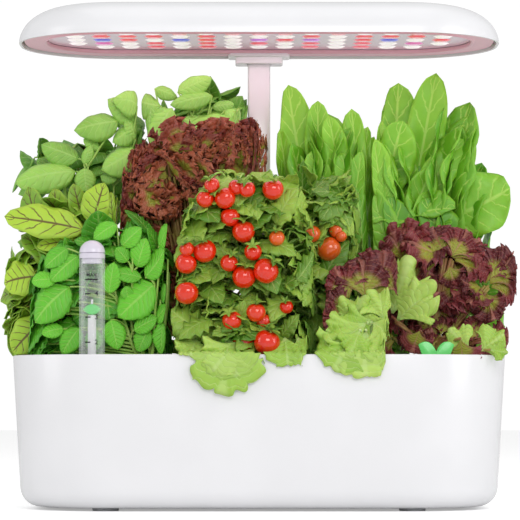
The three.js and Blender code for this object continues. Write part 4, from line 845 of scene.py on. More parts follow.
def basket_ribs(centre):
    """Upright bars from the basket's floor ring to its band, each a box that tapers inwards."""
    b = BASKET
    foot = (b["end"] + b["rib_out"], b["bottom"] + b["rib_foot"])
    head = (b["mouth"] - b["band_taper"], b["band_low"] + b["rib_head"])
    rings = []
    for radius, z in (foot, head):
        ring = []
        for side, inner in ((-1, 0), (1, 0), (1, 1), (-1, 1)):
            turn = round_angles(b["ribs"]) + side * b["rib_half_angle"]
            reach = radius - inner * b["wall"]
            x, y = centre[0] + reach * np.cos(turn), centre[1] + reach * np.sin(turn)
            ring.append(np.stack([x, y, np.full_like(turn, z)], axis=-1) * MM)
        rings.append(np.stack(ring, axis=1))
    return sheets_mesh(capped(np.stack(rings, axis=1)), wrap=True)


def make_sponges():
    """Each foam plug: a cone frustum with a crowned top and a bore for the stem."""
    s = SPONGE
    top, low = (BASKET[end] - BASKET["wall"] - s["gap"] for end in ("mouth", "end"))
    floor = BASKET["bottom"] + BASKET["wall"] + s["floor_gap"]
    profile = [(s["bore"], floor), (low, floor), (top, CROWN - s["shoulder"]),
               (top - s["crown_inset"], CROWN), (s["bore"], CROWN), (s["bore"], floor)]
    for name, centre in PODS.items():
        moulded(f"root_foam_{name}", softened(profile, s["round"], 3), centre, f"pod_{name}", "foam",
                f"sponge_{name}", s["sides"])


# Post, lamp and button


def make_post():
    """The telescopic post and the block on its end, from the CAD nodes."""
    refined_copy("post_sleeve", "post", "post_outer", edge=0.7)
    refined_copy("post_tube", "post", "post_inner")
    refined_copy("post_head", "post", "post_head_block", edge=0.6)


def hood_side(inset, height):
    """A quarter ellipse from the hood's rim to its crown."""
    turn = np.linspace(0, QUARTER, SHOULDER_STEPS)
    return [(inset + LAMP["shoulder"] * (1 - math.cos(a)), LAMP["rim"] + height * math.sin(a)) for a in turn]


def make_lamp_shell():
    """The hood: a quarter ellipse from rim to crown, and the same again inside the wall."""
    wall = LAMP["wall"]
    inner = hood_side(wall, LAMP["height"] - wall)
    profile = inner[::-1] + [(wall / 2, LAMP["rim"])] + hood_side(0, LAMP["height"])
    loft = rounded_loft([LAMP[side] for side in SIDES], profile, steps=HOOD_STEPS)
    mesh_data = sheets_mesh(capped(loft), wrap=True)
    piece = new_piece("hood", mesh_data, "lamp", "shell", "lamp_shell")
    b = BUTTON
    low, high = box_of("power_button")
    centre = (low + high)[:2] / 2
    cut_out(piece, drum(*centre, b["bore"], high[2] - b["below"], high[2] + b["above"]))
    flange_top = low[2] + b["flange_height"]
    profile = [(0, low[2]), (b["flange"], low[2]), (b["flange"], flange_top), (b["radius"], flange_top),
               (b["radius"], high[2] - b["bevel"]), (b["dish_radius"], high[2]), (0, high[2] - b["dish"])]
    moulded("button_top", softened(profile, b["round"]), centre, "button", "soft_white", "power_button")


def rounded_outline(size, centre):
    """A rounded rectangle as points in plan, in metres, from millimetres."""
    return rounded_loft(size, [(0, 0)], centre, HOOD_STEPS)[0, 0, :, :2]


def make_lamp_frame():
    """The smooth frame under the hood: bands between the outer outline and the panel's."""
    outer = rounded_outline([LAMP[side] - LAMP["frame_inset"] for side in SIDES], (0, 0))
    inner = rounded_outline([PANEL[side] for side in SIDES], PANEL["centre"])
    share, rise = np.array(FRAME_BANDS, float).T
    plan = outer[None] + (inner - outer)[None] * share[:, None, None]
    level = np.broadcast_to((LAMP["recess"] + rise)[:, None, None] * MM, (len(rise), len(outer), 1))
    mesh_data = sheets_mesh(np.concatenate([plan, level], axis=2)[None], wrap=True)
    new_piece("lamp_frame", mesh_data, "lamp", "frame", "lamp_bezel", FRAME_SHARP_ANGLE)


def lens_places():
    """Middle and tint of every lens; the corners of the field stay empty."""
    row, column = np.meshgrid(np.arange(LENS["rows"]), np.arange(LENS["columns"]), indexing="ij")
    last_row, last_column = LENS["rows"] - 1, LENS["columns"] - 1
    kept = ~(((column == 0) | (column == last_column)) & ((row == 0) | (row == last_row)))
    x = (column[kept] - last_column / 2) * LENS["pitch_x"]
    y = PANEL["centre"][1] + (row[kept] - last_row / 2) * LENS["pitch_y"]
    letters = np.array([list(line) for line in LENS_ROWS])[kept]
    return x, y, np.array([LENS_TINTS[letter] for letter in letters])


def make_lens_panel():
    """The panel, and its lenses: shallow domes from the rim's radius to the crown, each with its tint."""
    under = PANEL["under"]
    size = [PANEL[side] + PANEL["overlap"] for side in SIDES]
    plate = rounded_loft(size, [(0, under + PANEL["thickness"]), (0, under)], PANEL["centre"])
    new_piece("panel", sheets_mesh(capped(plate), wrap=True), "lamp", "panel", "lens_panel",
              MOULD_SHARP_ANGLE)
    x, y, tint = lens_places()
    rise = sizes().lens_rise / MM
    radius, drop = np.array(LENS_RIM + [(reach, share * rise) for reach, share in LENS_DOME]).T
    angle = round_angles(LENS["sides"])
    across = x[:, None, None] + radius[:, None] * np.cos(angle)
    deep = y[:, None, None] + radius[:, None] * np.sin(angle)
    level = np.broadcast_to((under - drop)[:, None], across.shape)
    vertices, quads = sheets_mesh(np.stack([across, deep, level], axis=-1) * MM, wrap=True)
    facing_down = quads[:, ::-1]
    tone = np.tile(np.repeat(1 - radius / LENS["radius"], len(angle)), len(x))
    tint = np.repeat(tint, len(radius) * len(angle), axis=0)
    new_piece("lenses", (vertices, facing_down), "lamp", "lens", "lens_panel",
              tone=tone, tint=tint)


# Gauge, filler and works


def make_gauge():
    """The clear tube on its collar, the domed cap with its plug, the marks, the float and the pointer."""
    g, c = GAUGE, CAP
    radius, inside = g["radius"], g["radius"] - g["wall"]
    collar, collar_top, floor = g["collar_z"], g["collar_z"] + g["wall"], g["bottom"] + g["floor"]
    wide, narrow = radius + g["collar"], inside - g["lip"]
    bottom, top = g["bottom"], g["top"]
    wall = [(narrow, bottom), (radius, bottom), (radius, collar), (wide, collar), (wide, collar_top),
            (radius, collar_top), (radius, top), (inside, top), (inside, floor), (narrow, floor),
            (narrow, bottom)]
    moulded("clear_tube", softened(wall, g["round"], 3), g["centre"], "deck", "clear", "gauge_tube")
    crown = box_of("gauge_cap")[1][2]
    band, plug, groove = g["top"] + c["gap"], inside - c["gap"], radius - c["groove"]
    spring = band + c["dome"]
    turn = np.linspace(0, QUARTER, DOME_STEPS)[:-1]
    dome = [(radius * math.cos(a), spring + (crown - spring) * math.sin(a)) for a in turn]
    cap = [(0, band), (plug - c["plug_wall"], band), (plug - c["plug_wall"], band - c["plug_depth"]),
           (plug, band - c["plug_depth"]), (plug, band), (radius, band), (radius, band + c["band"]),
           (groove, band + c["groove_low"]), (groove, band + c["groove_high"]), *dome, (0, crown)]
    moulded("dome_cap", cap, g["centre"], "deck", "cap", "gauge_cap")
    make_gauge_marks()
    refined_copy("float_pointer", "sprout", "float_leaf", edge=0.5)
    low, high = box_of("float_body")
    f = FLOAT
    rod, tip, wide = f["rod_radius"], f["tip_radius"], inside - f["gap"]
    profile = [(0, low[2]), (wide, low[2]), (wide, f["top"]), (rod, f["top"]), (rod, f["rod_top"]),
               (tip, f["rod_top"]), (tip, high[2]), (0, high[2])]
    moulded("float_rod", softened(profile, f["round"]), g["centre"], "float", "soft_white", "float_body")


def written(words, size):
    """Words as a mesh lying flat, in millimetres round their own middle."""
    text = bpy.data.curves.new(f"mark_{words}", "FONT")
    text.body = words
    text.size = size * MM
    text.align_x = "CENTER"
    text.align_y = "CENTER"
    text.extrude = MARK["depth"] * MM
    text.offset = MARK["weight"] * MM
    text.resolution_u = 3
    writing = new_object("writing", text)
    bpy.context.view_layer.update()
    evaluated = writing.evaluated_get(bpy.context.evaluated_depsgraph_get())
    mesh = bpy.data.meshes.new_from_object(evaluated)
    bpy.data.objects.remove(writing)
    flat = np.empty(len(mesh.vertices) * 3, np.float32)
    mesh.vertices.foreach_get("co", flat)
    return mesh, flat.reshape(-1, 3) / MM


def round_the_tube(reach, turn, level):
    """Points at a reach from the gauge's axis, a turn from its front and a level, in metres."""
    x, y = GAUGE["centre"]
    return np.stack([x + reach * np.sin(turn), y - reach * np.cos(turn), level], axis=-1) * MM


def make_gauge_marks():
    """Level lines and plain numbers printed on the tube, wrapped round its curve."""
    face = GAUGE["radius"] + MARK["proud"]
    for words, z, size in GAUGE_MARKS:
        is_number = len(words) == 1
        mesh, flat = written(words, size)
        turn = (flat[:, 0] + (MARK["aside"] if is_number else 0)) / face
        placed = round_the_tube(face + flat[:, 2], turn, z + flat[:, 1])
        mesh.vertices.foreach_set("co", placed.astype(np.float32).ravel())
        mesh.materials.clear()
        mesh.materials.append(LOOKS["marks"])
        piece = new_object(f"mark_{words}", mesh)
        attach(piece, "deck")
        line_z = z if is_number else z - MARK["word_over_line"]
        make_level_line(f"line_{words}", line_z, MARK["short"] if is_number else MARK["long"])


def make_level_line(name, z, ends):
    """A printed line round the front of the tube: a thin closed strip between two arcs."""
    turn = np.linspace(*ends, MARK["line_steps"])[:, None] / GAUGE["radius"]
    proud, rise = np.array(MARK["line_section"]).T
    level = np.broadcast_to(z + rise, (len(turn), len(rise)))
    points = round_the_tube(GAUGE["radius"] + proud, turn, level)[None]
    new_piece(name, sheets_mesh(capped(points), wrap=True), "deck", "marks")


def make_filler():
    """The fill cap and its sprout handle, from the CAD nodes."""
    refined_copy("fill_cap", "shell", "filler_disc", edge=0.5)
    refined_copy("sprout_handle", "sprout", "sprout_leaves", edge=0.8)


WORKS = {
    "rear_housing": "soft_white", "control_board": "board", "power_socket": "black", "pump_body": "black",
    "pump_cover": "black", "pump_impeller": "soft_white", "riser_pipe": "soft_white", "led_board": "board",
    "grow_deck": "deck",
}


def make_works():
    """The deck and the works inside, from the CAD nodes."""
    for node, look in WORKS.items():
        refined_copy(node, look, edge=0.3)


# The photograph's view and each plant's room: places are in millimetres until new_piece gets them


CAMERA = {"x": 0.0, "y": -2.345, "z": 0.088, "lens": 198.2, "sensor": 36.0, "horizon_px": 400,
          "focal_px": 2863, "frame_px": 520, "aside_px": 1, "near": 0.1, "far": 20}
PHOTO_MIDDLE = 259
COLUMN_GAP = 0.5
SQUEEZE = 6
SHEAR = 0.25
ROW_BACK, ROW_MIDDLE, ROW_FRONT = (21, 99.5), (-25, 21), (-58.7, -25)
FRONT_REACH = -103
COLUMNS = {
    "basil_left": (-216, -95.5, *ROW_BACK), "basil_right": (-95.5, -13.6, *ROW_BACK),
    "spinach_left": (13.6, 95.5, *ROW_BACK), "spinach_right": (95.5, 216, *ROW_BACK),
    "sorrel": (-216, -112, *ROW_MIDDLE), "frilly_lettuce": (-112, 6, *ROW_MIDDLE),
    "tomato_right": (6, 85, *ROW_MIDDLE), "red_lettuce": (85, 216, *ROW_MIDDLE),
    "mint": (-190, -70, *ROW_FRONT), "tomato_front": (-70, 50, FRONT_REACH, -25),
    "green_lettuce": (50, 110, FRONT_REACH, -25),
}
# Two places in plan on the slanted front wall of the red lettuce
SLANT = ((106.8, -25), (200.8, -90))
WALLED_TO = 120
RIM_GAP = 1.6
HANG_FROM = -78
HANG_SLOPE = 0.35
DECK_HALF_Y = 84


def pixel_size(y):
    """How many millimetres a pixel of the photograph spans at depth y."""
    return (y - CAMERA["y"] / MM) / CAMERA["focal_px"]


def place(px, py, y):
    """Points behind pixels of the photograph, at depth y."""
    px, py, y = np.broadcast_arrays(*(np.asarray(value, float) for value in (px, py, y)))
    x = (px - PHOTO_MIDDLE) * pixel_size(y)
    z = CAMERA["z"] / MM + (CAMERA["horizon_px"] - py) * pixel_size(y)
    return np.stack([x, y, z], axis=-1)


def drawn_in(value, low, high):
    """Middle plus half share / (1 + share^6)^(1/6): far points close in on the limit."""
    middle, half = (low + high) / 2, (high - low) / 2
    share = (value - middle) / half
    return middle + half * share / (1 + share**SQUEEZE) ** (1 / SQUEEZE)


def in_column(name, points):
    """Points drawn into a plant's own column, and kept above the deck and outside the tank.

    The upright walls between neighbours in a row slant in plan, so that no gap is seen through from
    the front.
    """
    left, right, front, back = COLUMNS[name]
    if name == "red_lettuce":
        (x0, y0), (x1, y1) = SLANT
        reach = drawn_in(points[..., 0], left, right)
        front = y0 + (y1 - y0) * np.clip((reach - x0) / (x1 - x0), 0, 1)
    y = drawn_in(points[..., 1], front + COLUMN_GAP, back - COLUMN_GAP)
    aside = SHEAR * (y - PODS[name][1])
    shift = [np.where(abs(wall) < WALLED_TO, aside, 0) for wall in (left, right)]
    x = drawn_in(points[..., 0], left + shift[0] + COLUMN_GAP, right + shift[1] - COLUMN_GAP)
    z = points[..., 2]
    rim = TANK["rim"] + RIM_GAP
    hangs = (z < rim) & (y < HANG_FROM)
    outside = -TANK["half_y"] - RIM_GAP - HANG_SLOPE * (y - HANG_FROM) / HANG_FROM
    y = np.where(hangs, np.minimum(y, outside), y)
    floor = np.where(np.abs(y) > DECK_HALF_Y, rim, BASKET["flange_top"] + RIM_GAP / 2)
    return np.stack([x, y, np.where(hangs, z, np.maximum(z, floor))], axis=-1)


# Leaf shapes


BASIL = {"waist": 0.85, "blunt": 0.62, "fold": -0.05, "cup": -0.42, "arch": 0.16, "quilt": 0.05,
         "ruffle": 0.03, "waves": 2.5, "lobes": 0.0}
MINT = {"waist": 0.88, "blunt": 0.7, "fold": 0.15, "cup": -0.2, "arch": 0.14, "quilt": 0.05, "ruffle": 0.05,
        "waves": 5.5, "lobes": 0.04}
SORREL = {"waist": 0.92, "blunt": 0.6, "fold": 0.12, "cup": -0.12, "arch": 0.12, "quilt": 0.03,
          "ruffle": 0.07, "waves": 2.5, "lobes": 0.0}
SPINACH = {"waist": 1.12, "blunt": 0.52, "fold": 0.35, "cup": -0.12, "arch": 0.10, "quilt": 0.05,
           "ruffle": 0.09, "waves": 2.2, "lobes": 0.0}
TOMATO_LEAF = {"waist": 0.8, "blunt": 0.8, "fold": 0.15, "cup": -0.25, "arch": 0.2, "quilt": 0.05,
               "ruffle": 0.12, "waves": 4.2, "lobes": 0.34}
SEPAL = {"waist": 0.6, "blunt": 0.8, "fold": 0.3, "cup": 0.0, "arch": 0.25, "quilt": 0.0, "ruffle": 0.0,
         "waves": 1.0, "lobes": 0.0}
ARCH_SPREAD = (0.4, 1.5)
FOLD_SPREAD = (0.5, 1.5)
SIDE_SHIFT = 1.3
SIDE_VEINS = 6
VEIN_SLANT = 0.2


def facing_normal(along, facing):
    """The part of a facing direction that is square to the leaf."""
    return unit(facing - along * np.sum(facing * along, axis=1, keepdims=True))


def blades(base, tip, width, facing, kind, rng, rows=13, columns=9):
    """Leaf blades: a bent midrib with the blade spread to both sides.

    The midrib is the curve (1-v)^2 base + 2v(1-v) middle + v^2 tip, its middle lifted by the arch.
    Across it at share s the blade is s w(v), folded by an angle, crowned by s^2 and waved at its
    edge, where w(v) is a power of sin(pi v^waist). Between the side veins it is quilted.
    """
    count = len(base)
    v = np.linspace(0, 1, rows)[None, :, None]
    s = np.linspace(-1, 1, columns)[None, None, :]
    chord = tip - base
    length = np.linalg.norm(chord, axis=1)
    normal = facing_normal(unit(chord), facing)
    lift = kind["arch"] * rng.uniform(*ARCH_SPREAD, count) * length
    middle = (base + tip) / 2 + normal * lift[:, None]
    rib = arc_of(base[:, None], middle[:, None], tip[:, None], v)
    run = unit((1 - v) * (middle - base)[:, None] + v * (tip - middle)[:, None])
    across = unit(np.cross(run, normal[:, None]))
    up = np.cross(across, run)
    outline = np.sin(np.pi * v ** kind["waist"]).clip(0, 1) ** kind["blunt"]
    phase = rng.uniform(0, FULL_TURN, (count, 1, 1))
    waving = FULL_TURN * kind["waves"] * v + phase
    half = (width / 2)[:, None, None] * outline * (1 + kind["lobes"] * np.cos(waving) * (1 - v))
    fold = kind["fold"] * rng.uniform(*FOLD_SPREAD, (count, 1, 1))
    side = half * s * np.cos(fold)
    out = np.abs(s)
    wave = np.sin(waving + np.where(s > 0, SIDE_SHIFT, 0.0)) * out**3
    quilt = np.cos(FULL_TURN * SIDE_VEINS * (v - VEIN_SLANT * out)) * out * (1 - out) * 4
    bend = out * np.sin(fold) + kind["cup"] * s**2
    rise = half * (bend + kind["ruffle"] * wave * 2 + kind["quilt"] * quilt)
    points = rib[:, :, None] + across[:, :, None] * side[..., None] + up[:, :, None] * rise[..., None]
    return points, blade_places((s + 1) / 2, v, side.shape)


def blade_places(across, along, shape):
    """The (across, along) shares of every point of many leaves."""
    return np.stack([np.broadcast_to(share, shape) for share in (across, along)], axis=-1)


FRILL = {"cup": 0.3, "wave": 0.10, "waves": 5, "frill": 0.11, "frills": 19, "spread": 1.25, "notch": 0.06}
LEAF_LETTUCE = {"cup": 0.35, "wave": 0.13, "waves": 4, "frill": 0.09, "frills": 15, "spread": 1.2,
                "notch": 0.06}
OAK = {"cup": 0.3, "wave": 0.12, "waves": 3, "frill": 0.035, "frills": 6, "spread": 1.05, "notch": 0.16}
FAN = {"root_share": 0.06, "spread": (0.8, 1.15), "root_spread_share": 0.25, "spread_power": 0.8,
       "shift": 1.5, "third_frills": 2.3, "third_share": 0.45, "rounding": 0.32, "slow_notch_share": 0.6,
       "swing": 1.2}


def fans(base, tip, facing, kind, rng, rows=11, columns=91):
    """Lettuce leaves as fans: radius r and angle t from the base, the edge thrown into folds.

    A point is base + r L (cos t along + sin t across) plus the normal times
    cup r^2 + wave r^3 sin(waves t) + frill r^5 sin(frills t); the rim is notched in step.
    """
    count = len(base)
    r = np.linspace(FAN["root_share"], 1, rows)[None, :, None]
    t = np.linspace(-1, 1, columns)[None, None, :]
    chord = tip - base
    length = np.linalg.norm(chord, axis=1)[:, None, None]
    along = unit(chord)
    normal = facing_normal(along, facing)
    across = np.cross(along, normal)
    phase = rng.uniform(0, FULL_TURN, (4, count, 1, 1))
    opening = kind["spread"] * rng.uniform(*FAN["spread"], (count, 1, 1))
    root = FAN["root_spread_share"]
    angle = t * opening * (root + (1 - root) * r ** FAN["spread_power"])
    slow = np.sin(kind["waves"] * np.pi * t + phase[0])
    fine = np.sin(kind["frills"] * np.pi * t + phase[1] + FAN["shift"] * slow)
    third = np.sin(FAN["third_frills"] * kind["frills"] * np.pi * t + phase[2])
    notch = FAN["slow_notch_share"] * slow + (1 - FAN["slow_notch_share"]) * fine
    reach = r * length * (1 - FAN["rounding"] * t**2 * r) * (1 + kind["notch"] * r**4 * notch)
    cup = kind["cup"] * r**2 * (0.5 * t**2 - 0.5)
    folds = kind["frill"] * (r**5 * fine + FAN["third_share"] * r**9 * third)
    lift = length * (cup + kind["wave"] * r**3 * slow + folds)
    swing = angle + kind["frill"] * FAN["swing"] * r**6 * np.cos(kind["frills"] * np.pi * t + phase[3])
    steps = ((along, reach * np.cos(swing)), (across, reach * np.sin(swing)), (normal, lift))
    points = base[:, None, None] + sum(axis[:, None, None] * amount[..., None] for axis, amount in steps)
    return points, blade_places((t + 1) / 2, r, lift.shape)


# Where leaves stand


WIDTH_SPREAD = (0.85, 1.15)
CLOUD = {"lowest": -0.55, "depth_shares": (0.45, 0.98), "flatten": (1, 1, 0.7), "outward": 0.7, "aside": 0.7,
         "face_out": 0.6, "face_up": 0.55, "face_front": 0.25}
HEDGE = {"depth_shares": (0.6, 1), "shoulder_share": 0.3, "uneven": 18, "crowding": 0.85, "up": 0.25,
         "outward": 0.35, "aside": 0.8, "face_out": 0.7, "face_up": 0.5}


def leaves_at(rng, middle, run, size, aspect, facing):
    """Base, tip, width and facing of leaves that run through their middles."""
    length = rng.uniform(*size, len(middle))
    half = run * (length / 2)[:, None]
    return middle - half, middle + half, length * aspect * rng.uniform(*WIDTH_SPREAD, len(middle)), facing


def cloud(rng, count, centre, radii, size, aspect, droop):
    """Leaves that tile a mound: bases and tips on an ellipsoid, each facing out of it and up."""
    c = CLOUD
    direction = unit(rng.normal(size=(count, 3)))
    direction[:, 2] = np.where(direction[:, 2] < c["lowest"], -direction[:, 2], direction[:, 2])
    depth = rng.uniform(*c["depth_shares"], count)[:, None]
    middle = np.asarray(centre) + direction * np.asarray(radii) * depth
    outward = unit(direction * c["flatten"])
    aside = np.cross(outward, unit(rng.normal(size=(count, 3))))
    run = unit(outward * c["outward"] + aside * c["aside"] - UP * droop)
    facing = unit(outward * c["face_out"] + UP * c["face_up"] + FRONT * c["face_front"])
    return leaves_at(rng, middle, run, size, aspect, facing)


def hedge(rng, count, wide, deep, high, size, aspect, droop=0.3):
    """Leaves all round the walls of a box, from its foot to its top, each hanging a little outwards."""
    h = HEDGE
    foot, head = high
    side = rng.uniform(-1, 1, (count, 2))
    side /= np.max(np.abs(side), axis=1, keepdims=True)
    side *= rng.uniform(*h["depth_shares"], (count, 1))
    shoulder = (head - foot) * h["shoulder_share"] * np.abs(side[:, 0]) ** 3
    top = head - shoulder - rng.uniform(0, h["uneven"], count)
    middle = np.column_stack([
        np.interp(side[:, 0], (-1, 1), wide), np.interp(side[:, 1], (-1, 1), deep),
        foot + (top - foot) * rng.uniform(0, 1, count) ** h["crowding"]
    ])
    outward = unit(np.column_stack([side**3, np.full(count, h["up"])]))
    aside = np.cross(outward, unit(rng.normal(size=(count, 3))))
    run = unit(outward * h["outward"] + aside * h["aside"] - UP * droop)
    return leaves_at(rng, middle, run, size, aspect, unit(outward * h["face_out"] + UP * h["face_up"]))


def heroes(rows, lean=0.5):
    """Leaves placed from the photograph: (base px, base py, tip px, tip py, width px, base y, tip y)."""
    table = np.array(rows, float)
    base = place(table[:, 0], table[:, 1], table[:, 5])
    tip = place(table[:, 2], table[:, 3], table[:, 6])
    facing = np.broadcast_to(unit(FRONT + UP * lean), base.shape)
    return [base, tip, table[:, 4] * pixel_size(table[:, 6]), facing]


def gathered(*groups):
    return [np.concatenate(parts) for parts in zip(*groups)]


PALE_SHARE = 0.5
# Pale tones also paint light on near leaves, and dark tones paint shade on the leaves behind them.
PALE_TONES, DARK_TONES = (0.55, 1), (0, 0.55)
NEAR_SHARE = 0.4
NEAR_GAP = 2
BEHIND_SHARE = 0.36


def at_depth(points, y):
    return np.column_stack([points[:, 0], y, points[:, 2]])


def brought_forward(plant, points):
    """Points moved into the front part of a plant's column, in their own order of depth."""
    front = COLUMNS[plant][2]
    return at_depth(points, front + NEAR_GAP + (points[:, 1] - front) * NEAR_SHARE)


def set_back(plant, points):
    """Points moved out of the front part of a plant's column, so that its near leaves stay in view."""
    _, _, front, back = COLUMNS[plant]
    start = front + (back - front) * BEHIND_SHARE
    return at_depth(points, start + (points[:, 1] - front) * (1 - BEHIND_SHARE))


# Pieces of a plant


def plant_piece(name, plant, mesh_data, look, uv=None, tone=None):
    """A piece that rides on a plant's pod and stands for the plant's node."""
    node = f"plant_{plant}"
    return new_piece(name, mesh_data, f"pod_{plant}", look, node, uv=uv, tone=tone)


def leaf_piece(name, plant, points, leaf_map, look, rng, near=0):
    """One object of many leaves, in its plant's column and with its thickness; near leaves are paler as
    painted light and those after them darker as painted shade, and otherwise the tones differ at random.
    """
    points = in_column(plant, points) * MM
    sheets, rows, columns, _ = points.shape
    # With near leaves, their pale tones are painted light and the dark tones behind them are painted shade.
    pale = np.arange(sheets) < near if near else rng.uniform(size=sheets) < PALE_SHARE
    tone = np.where(pale, rng.uniform(*PALE_TONES, sheets), rng.uniform(*DARK_TONES, sheets))
    piece = plant_piece(name, plant, sheets_mesh(points), look, leaf_map.reshape(-1, 2),
                        np.repeat(tone, rows * columns))
    solidify = piece.modifiers.new("thickness", "SOLIDIFY")
    solidify.thickness = sizes().leaf_thickness
    solidify.offset = 0


STEM = {"turns": 0.6, "reach_shares": (0.45, 1), "top_shares": (0.88, 1), "bend_share": 0.8,
        "bend_height": 22, "depth": 8, "points": 24, "sway": 1.6, "sway_turn": 9, "taper": (1.1, 0.45),
        "thin_share": 0.75, "thick_below": 4}
THIN_SIDES = 6
PETIOLE = {"points": 7, "lift": 2, "taper": (1.15, 0.8), "climb_cost": 3, "climb": 6}


def branches(plant, count, top, spread, rng):
    """Upright stems out of the crown: curves that part low down and sway as they climb."""
    x, y = PODS[plant]
    angle = FULL_TURN * (np.arange(count) + rng.uniform(0, STEM["turns"], count)) / count
    reach = rng.uniform(*STEM["reach_shares"], count)
    aside = np.stack([np.cos(angle) * spread[0] * reach, np.sin(angle) * spread[1] * reach], axis=-1)
    ends = np.column_stack([aside + (x, y), top * rng.uniform(*STEM["top_shares"], count)])
    bend_z = np.full(count, CROWN + STEM["bend_height"])
    bends = np.column_stack([aside * STEM["bend_share"] + (x, y), bend_z])
    roots = np.tile([x, y, CROWN - STEM["depth"]], (count, 1))
    t = np.linspace(0, 1, STEM["points"])[None, :, None]
    path = arc_of(roots[:, None], bends[:, None], ends[:, None], t)
    path[..., 0] += STEM["sway"] * np.sin(STEM["sway_turn"] * t[..., 0] + angle[:, None]) * t[..., 0]
    return in_column(plant, path)


def stalks(name, plant, base, look, rng, top, count, spread, radius=None):
    """The stems of a plant, and a thin stalk to the base of every leaf from the nearest place on them."""
    stems = branches(plant, count, top, spread, rng)
    nodes = stems.reshape(-1, 3)
    gap = np.linalg.norm(base[:, None] - nodes[None], axis=-1)
    gap += PETIOLE["climb_cost"] * np.maximum(0, nodes[None, :, 2] - base[:, None, 2] + PETIOLE["climb"])
    start = nodes[np.argmin(gap, axis=1)]
    along = np.linspace(0, 1, PETIOLE["points"])
    paths = in_column(plant, bow(start, base, UP * PETIOLE["lift"], along))
    taper = np.linspace(*PETIOLE["taper"], PETIOLE["points"]) * (radius or sizes().petiole_radius / MM)
    thickness = 1 if count < STEM["thick_below"] else STEM["thin_share"]
    width = np.linspace(*STEM["taper"], stems.shape[1]) * sizes().stem_radius * thickness
    meshes = [
        tubes(paths * MM, np.broadcast_to(taper * MM, paths.shape[:2]), THIN_SIDES),
        tubes(stems * MM, np.broadcast_to(width, stems.shape[:2])),
    ]
    plant_piece(name, plant, joined(*meshes), look)


HERB_STEMS = 7


def herb(plant, hero_rows, clouds, hedges, kind, look, stalk, seed, top, spread):
    """A leafy herb: the leaves of the photograph, more of them all round, their stalks and stem.

    A cloud is (count, centre, radii, sizes, aspect, droop), and a hedge is (count, wide, deep, high,
    sizes, aspect).
    """
    rng = np.random.default_rng(seed)
    near = heroes(hero_rows)
    near[:2] = [brought_forward(plant, ends) for ends in near[:2]]
    behind = gathered(*[cloud(rng, *row) for row in clouds], *[hedge(rng, *row) for row in hedges])
    behind[:2] = [set_back(plant, ends) for ends in behind[:2]]
    base, tip, width, facing = gathered(near, behind)
    points, leaf_map = blades(base, tip, width, facing, kind, rng)
    leaf_piece(f"{plant}_leaves", plant, points, leaf_map, look, rng, len(near[0]))
    stalks(f"{plant}_stalks", plant, base, stalk, rng, top, HERB_STEMS, spread)


# Look: title, colour of the young leaf, also painted light on near leaves, vein, edge and heart, pairs of
# side veins and the other settings
LEAF_LOOKS = {
    "basil": ("Basil leaf", (0.36, 0.68, 0.11), (0.50, 0.78, 0.22), (0.16, 0.40, 0.03), (0.3, 0.6, 0.1), 7,
              {"veins": 0.4, "relief": 0.5}),
    "spinach": ("Spinach leaf", (0.25, 0.58, 0.03), (0.56, 0.82, 0.16), (0.30, 0.62, 0.03),
                (0.45, 0.72, 0.10), 6, {"veins": 0.5, "relief": 0.45}),
    "sorrel": ("Sorrel leaf", (0.48, 0.72, 0.05), (0.10, 0.012, 0.016), (0.46, 0.68, 0.10),
               (0.28, 0.12, 0.03), 6, {"veins": 0.85, "relief": 0.35}),
    "mint": ("Mint leaf", (0.17, 0.64, 0.03), (0.45, 0.76, 0.16), (0.07, 0.32, 0.01), (0.2, 0.5, 0.05), 8,
             {"veins": 0.45, "relief": 0.6}),
    "red_lettuce": ("Red lettuce leaf", (0.24, 0.035, 0.040), (0.50, 0.20, 0.14), (0.30, 0.07, 0.08),
                    (0.32, 0.34, 0.03), 9, {"veins": 0.6, "edges": 0.6, "reach": 0.62}),
    "green_lettuce": ("Green lettuce leaf", (0.46, 0.66, 0.12), (0.60, 0.76, 0.28), (0.44, 0.66, 0.12),
                      (0.46, 0.66, 0.2), 7, {"veins": 0.4, "edges": 0.5, "reach": 0.2}),
    "tomato_leaf": ("Tomato leaf", (0.36, 0.56, 0.07), (0.50, 0.66, 0.2), (0.16, 0.34, 0.02),
                    (0.3, 0.5, 0.1), 6, {"veins": 0.4, "relief": 0.6}),
}


def make_leaf_looks():
    """Each plant's leaf: young leaf, also painted light on near leaves, vein, edge and heart in their own
    colours.
    """
    for key, (title, young_and_lit, vein, edge, heart, pairs, settings) in LEAF_LOOKS.items():
        LOOKS[key] = leaf_look(title, getattr(colours(), key), young_and_lit, vein, edge, heart, pairs, **settings)
    LOOKS["frilly_lettuce"] = leaf_look("Frilly lettuce leaf", (0.20, 0.030, 0.022), (0.40, 0.10, 0.04),
                                        (0.36, 0.12, 0.05), (0.46, 0.14, 0.08), (0.30, 0.32, 0.03), 9,
                                        veins=0.25, edges=0.6, reach=0.6)
    LOOKS["stalk"] = stalk_look("Green stalk", (0.26, 0.50, 0.06), (0.42, 0.62, 0.14))
    LOOKS["red_stalk"] = stalk_look("Red stalk", (0.24, 0.06, 0.04), (0.36, 0.30, 0.06))
    LOOKS["pale_stalk"] = stalk_look("Pale stalk", (0.46, 0.66, 0.2), (0.6, 0.76, 0.32))
    LOOKS["tomato"] = tomato_look("Tomato skin", colours().tomato)


# Leaves seen in the photograph, by rows that heroes() reads


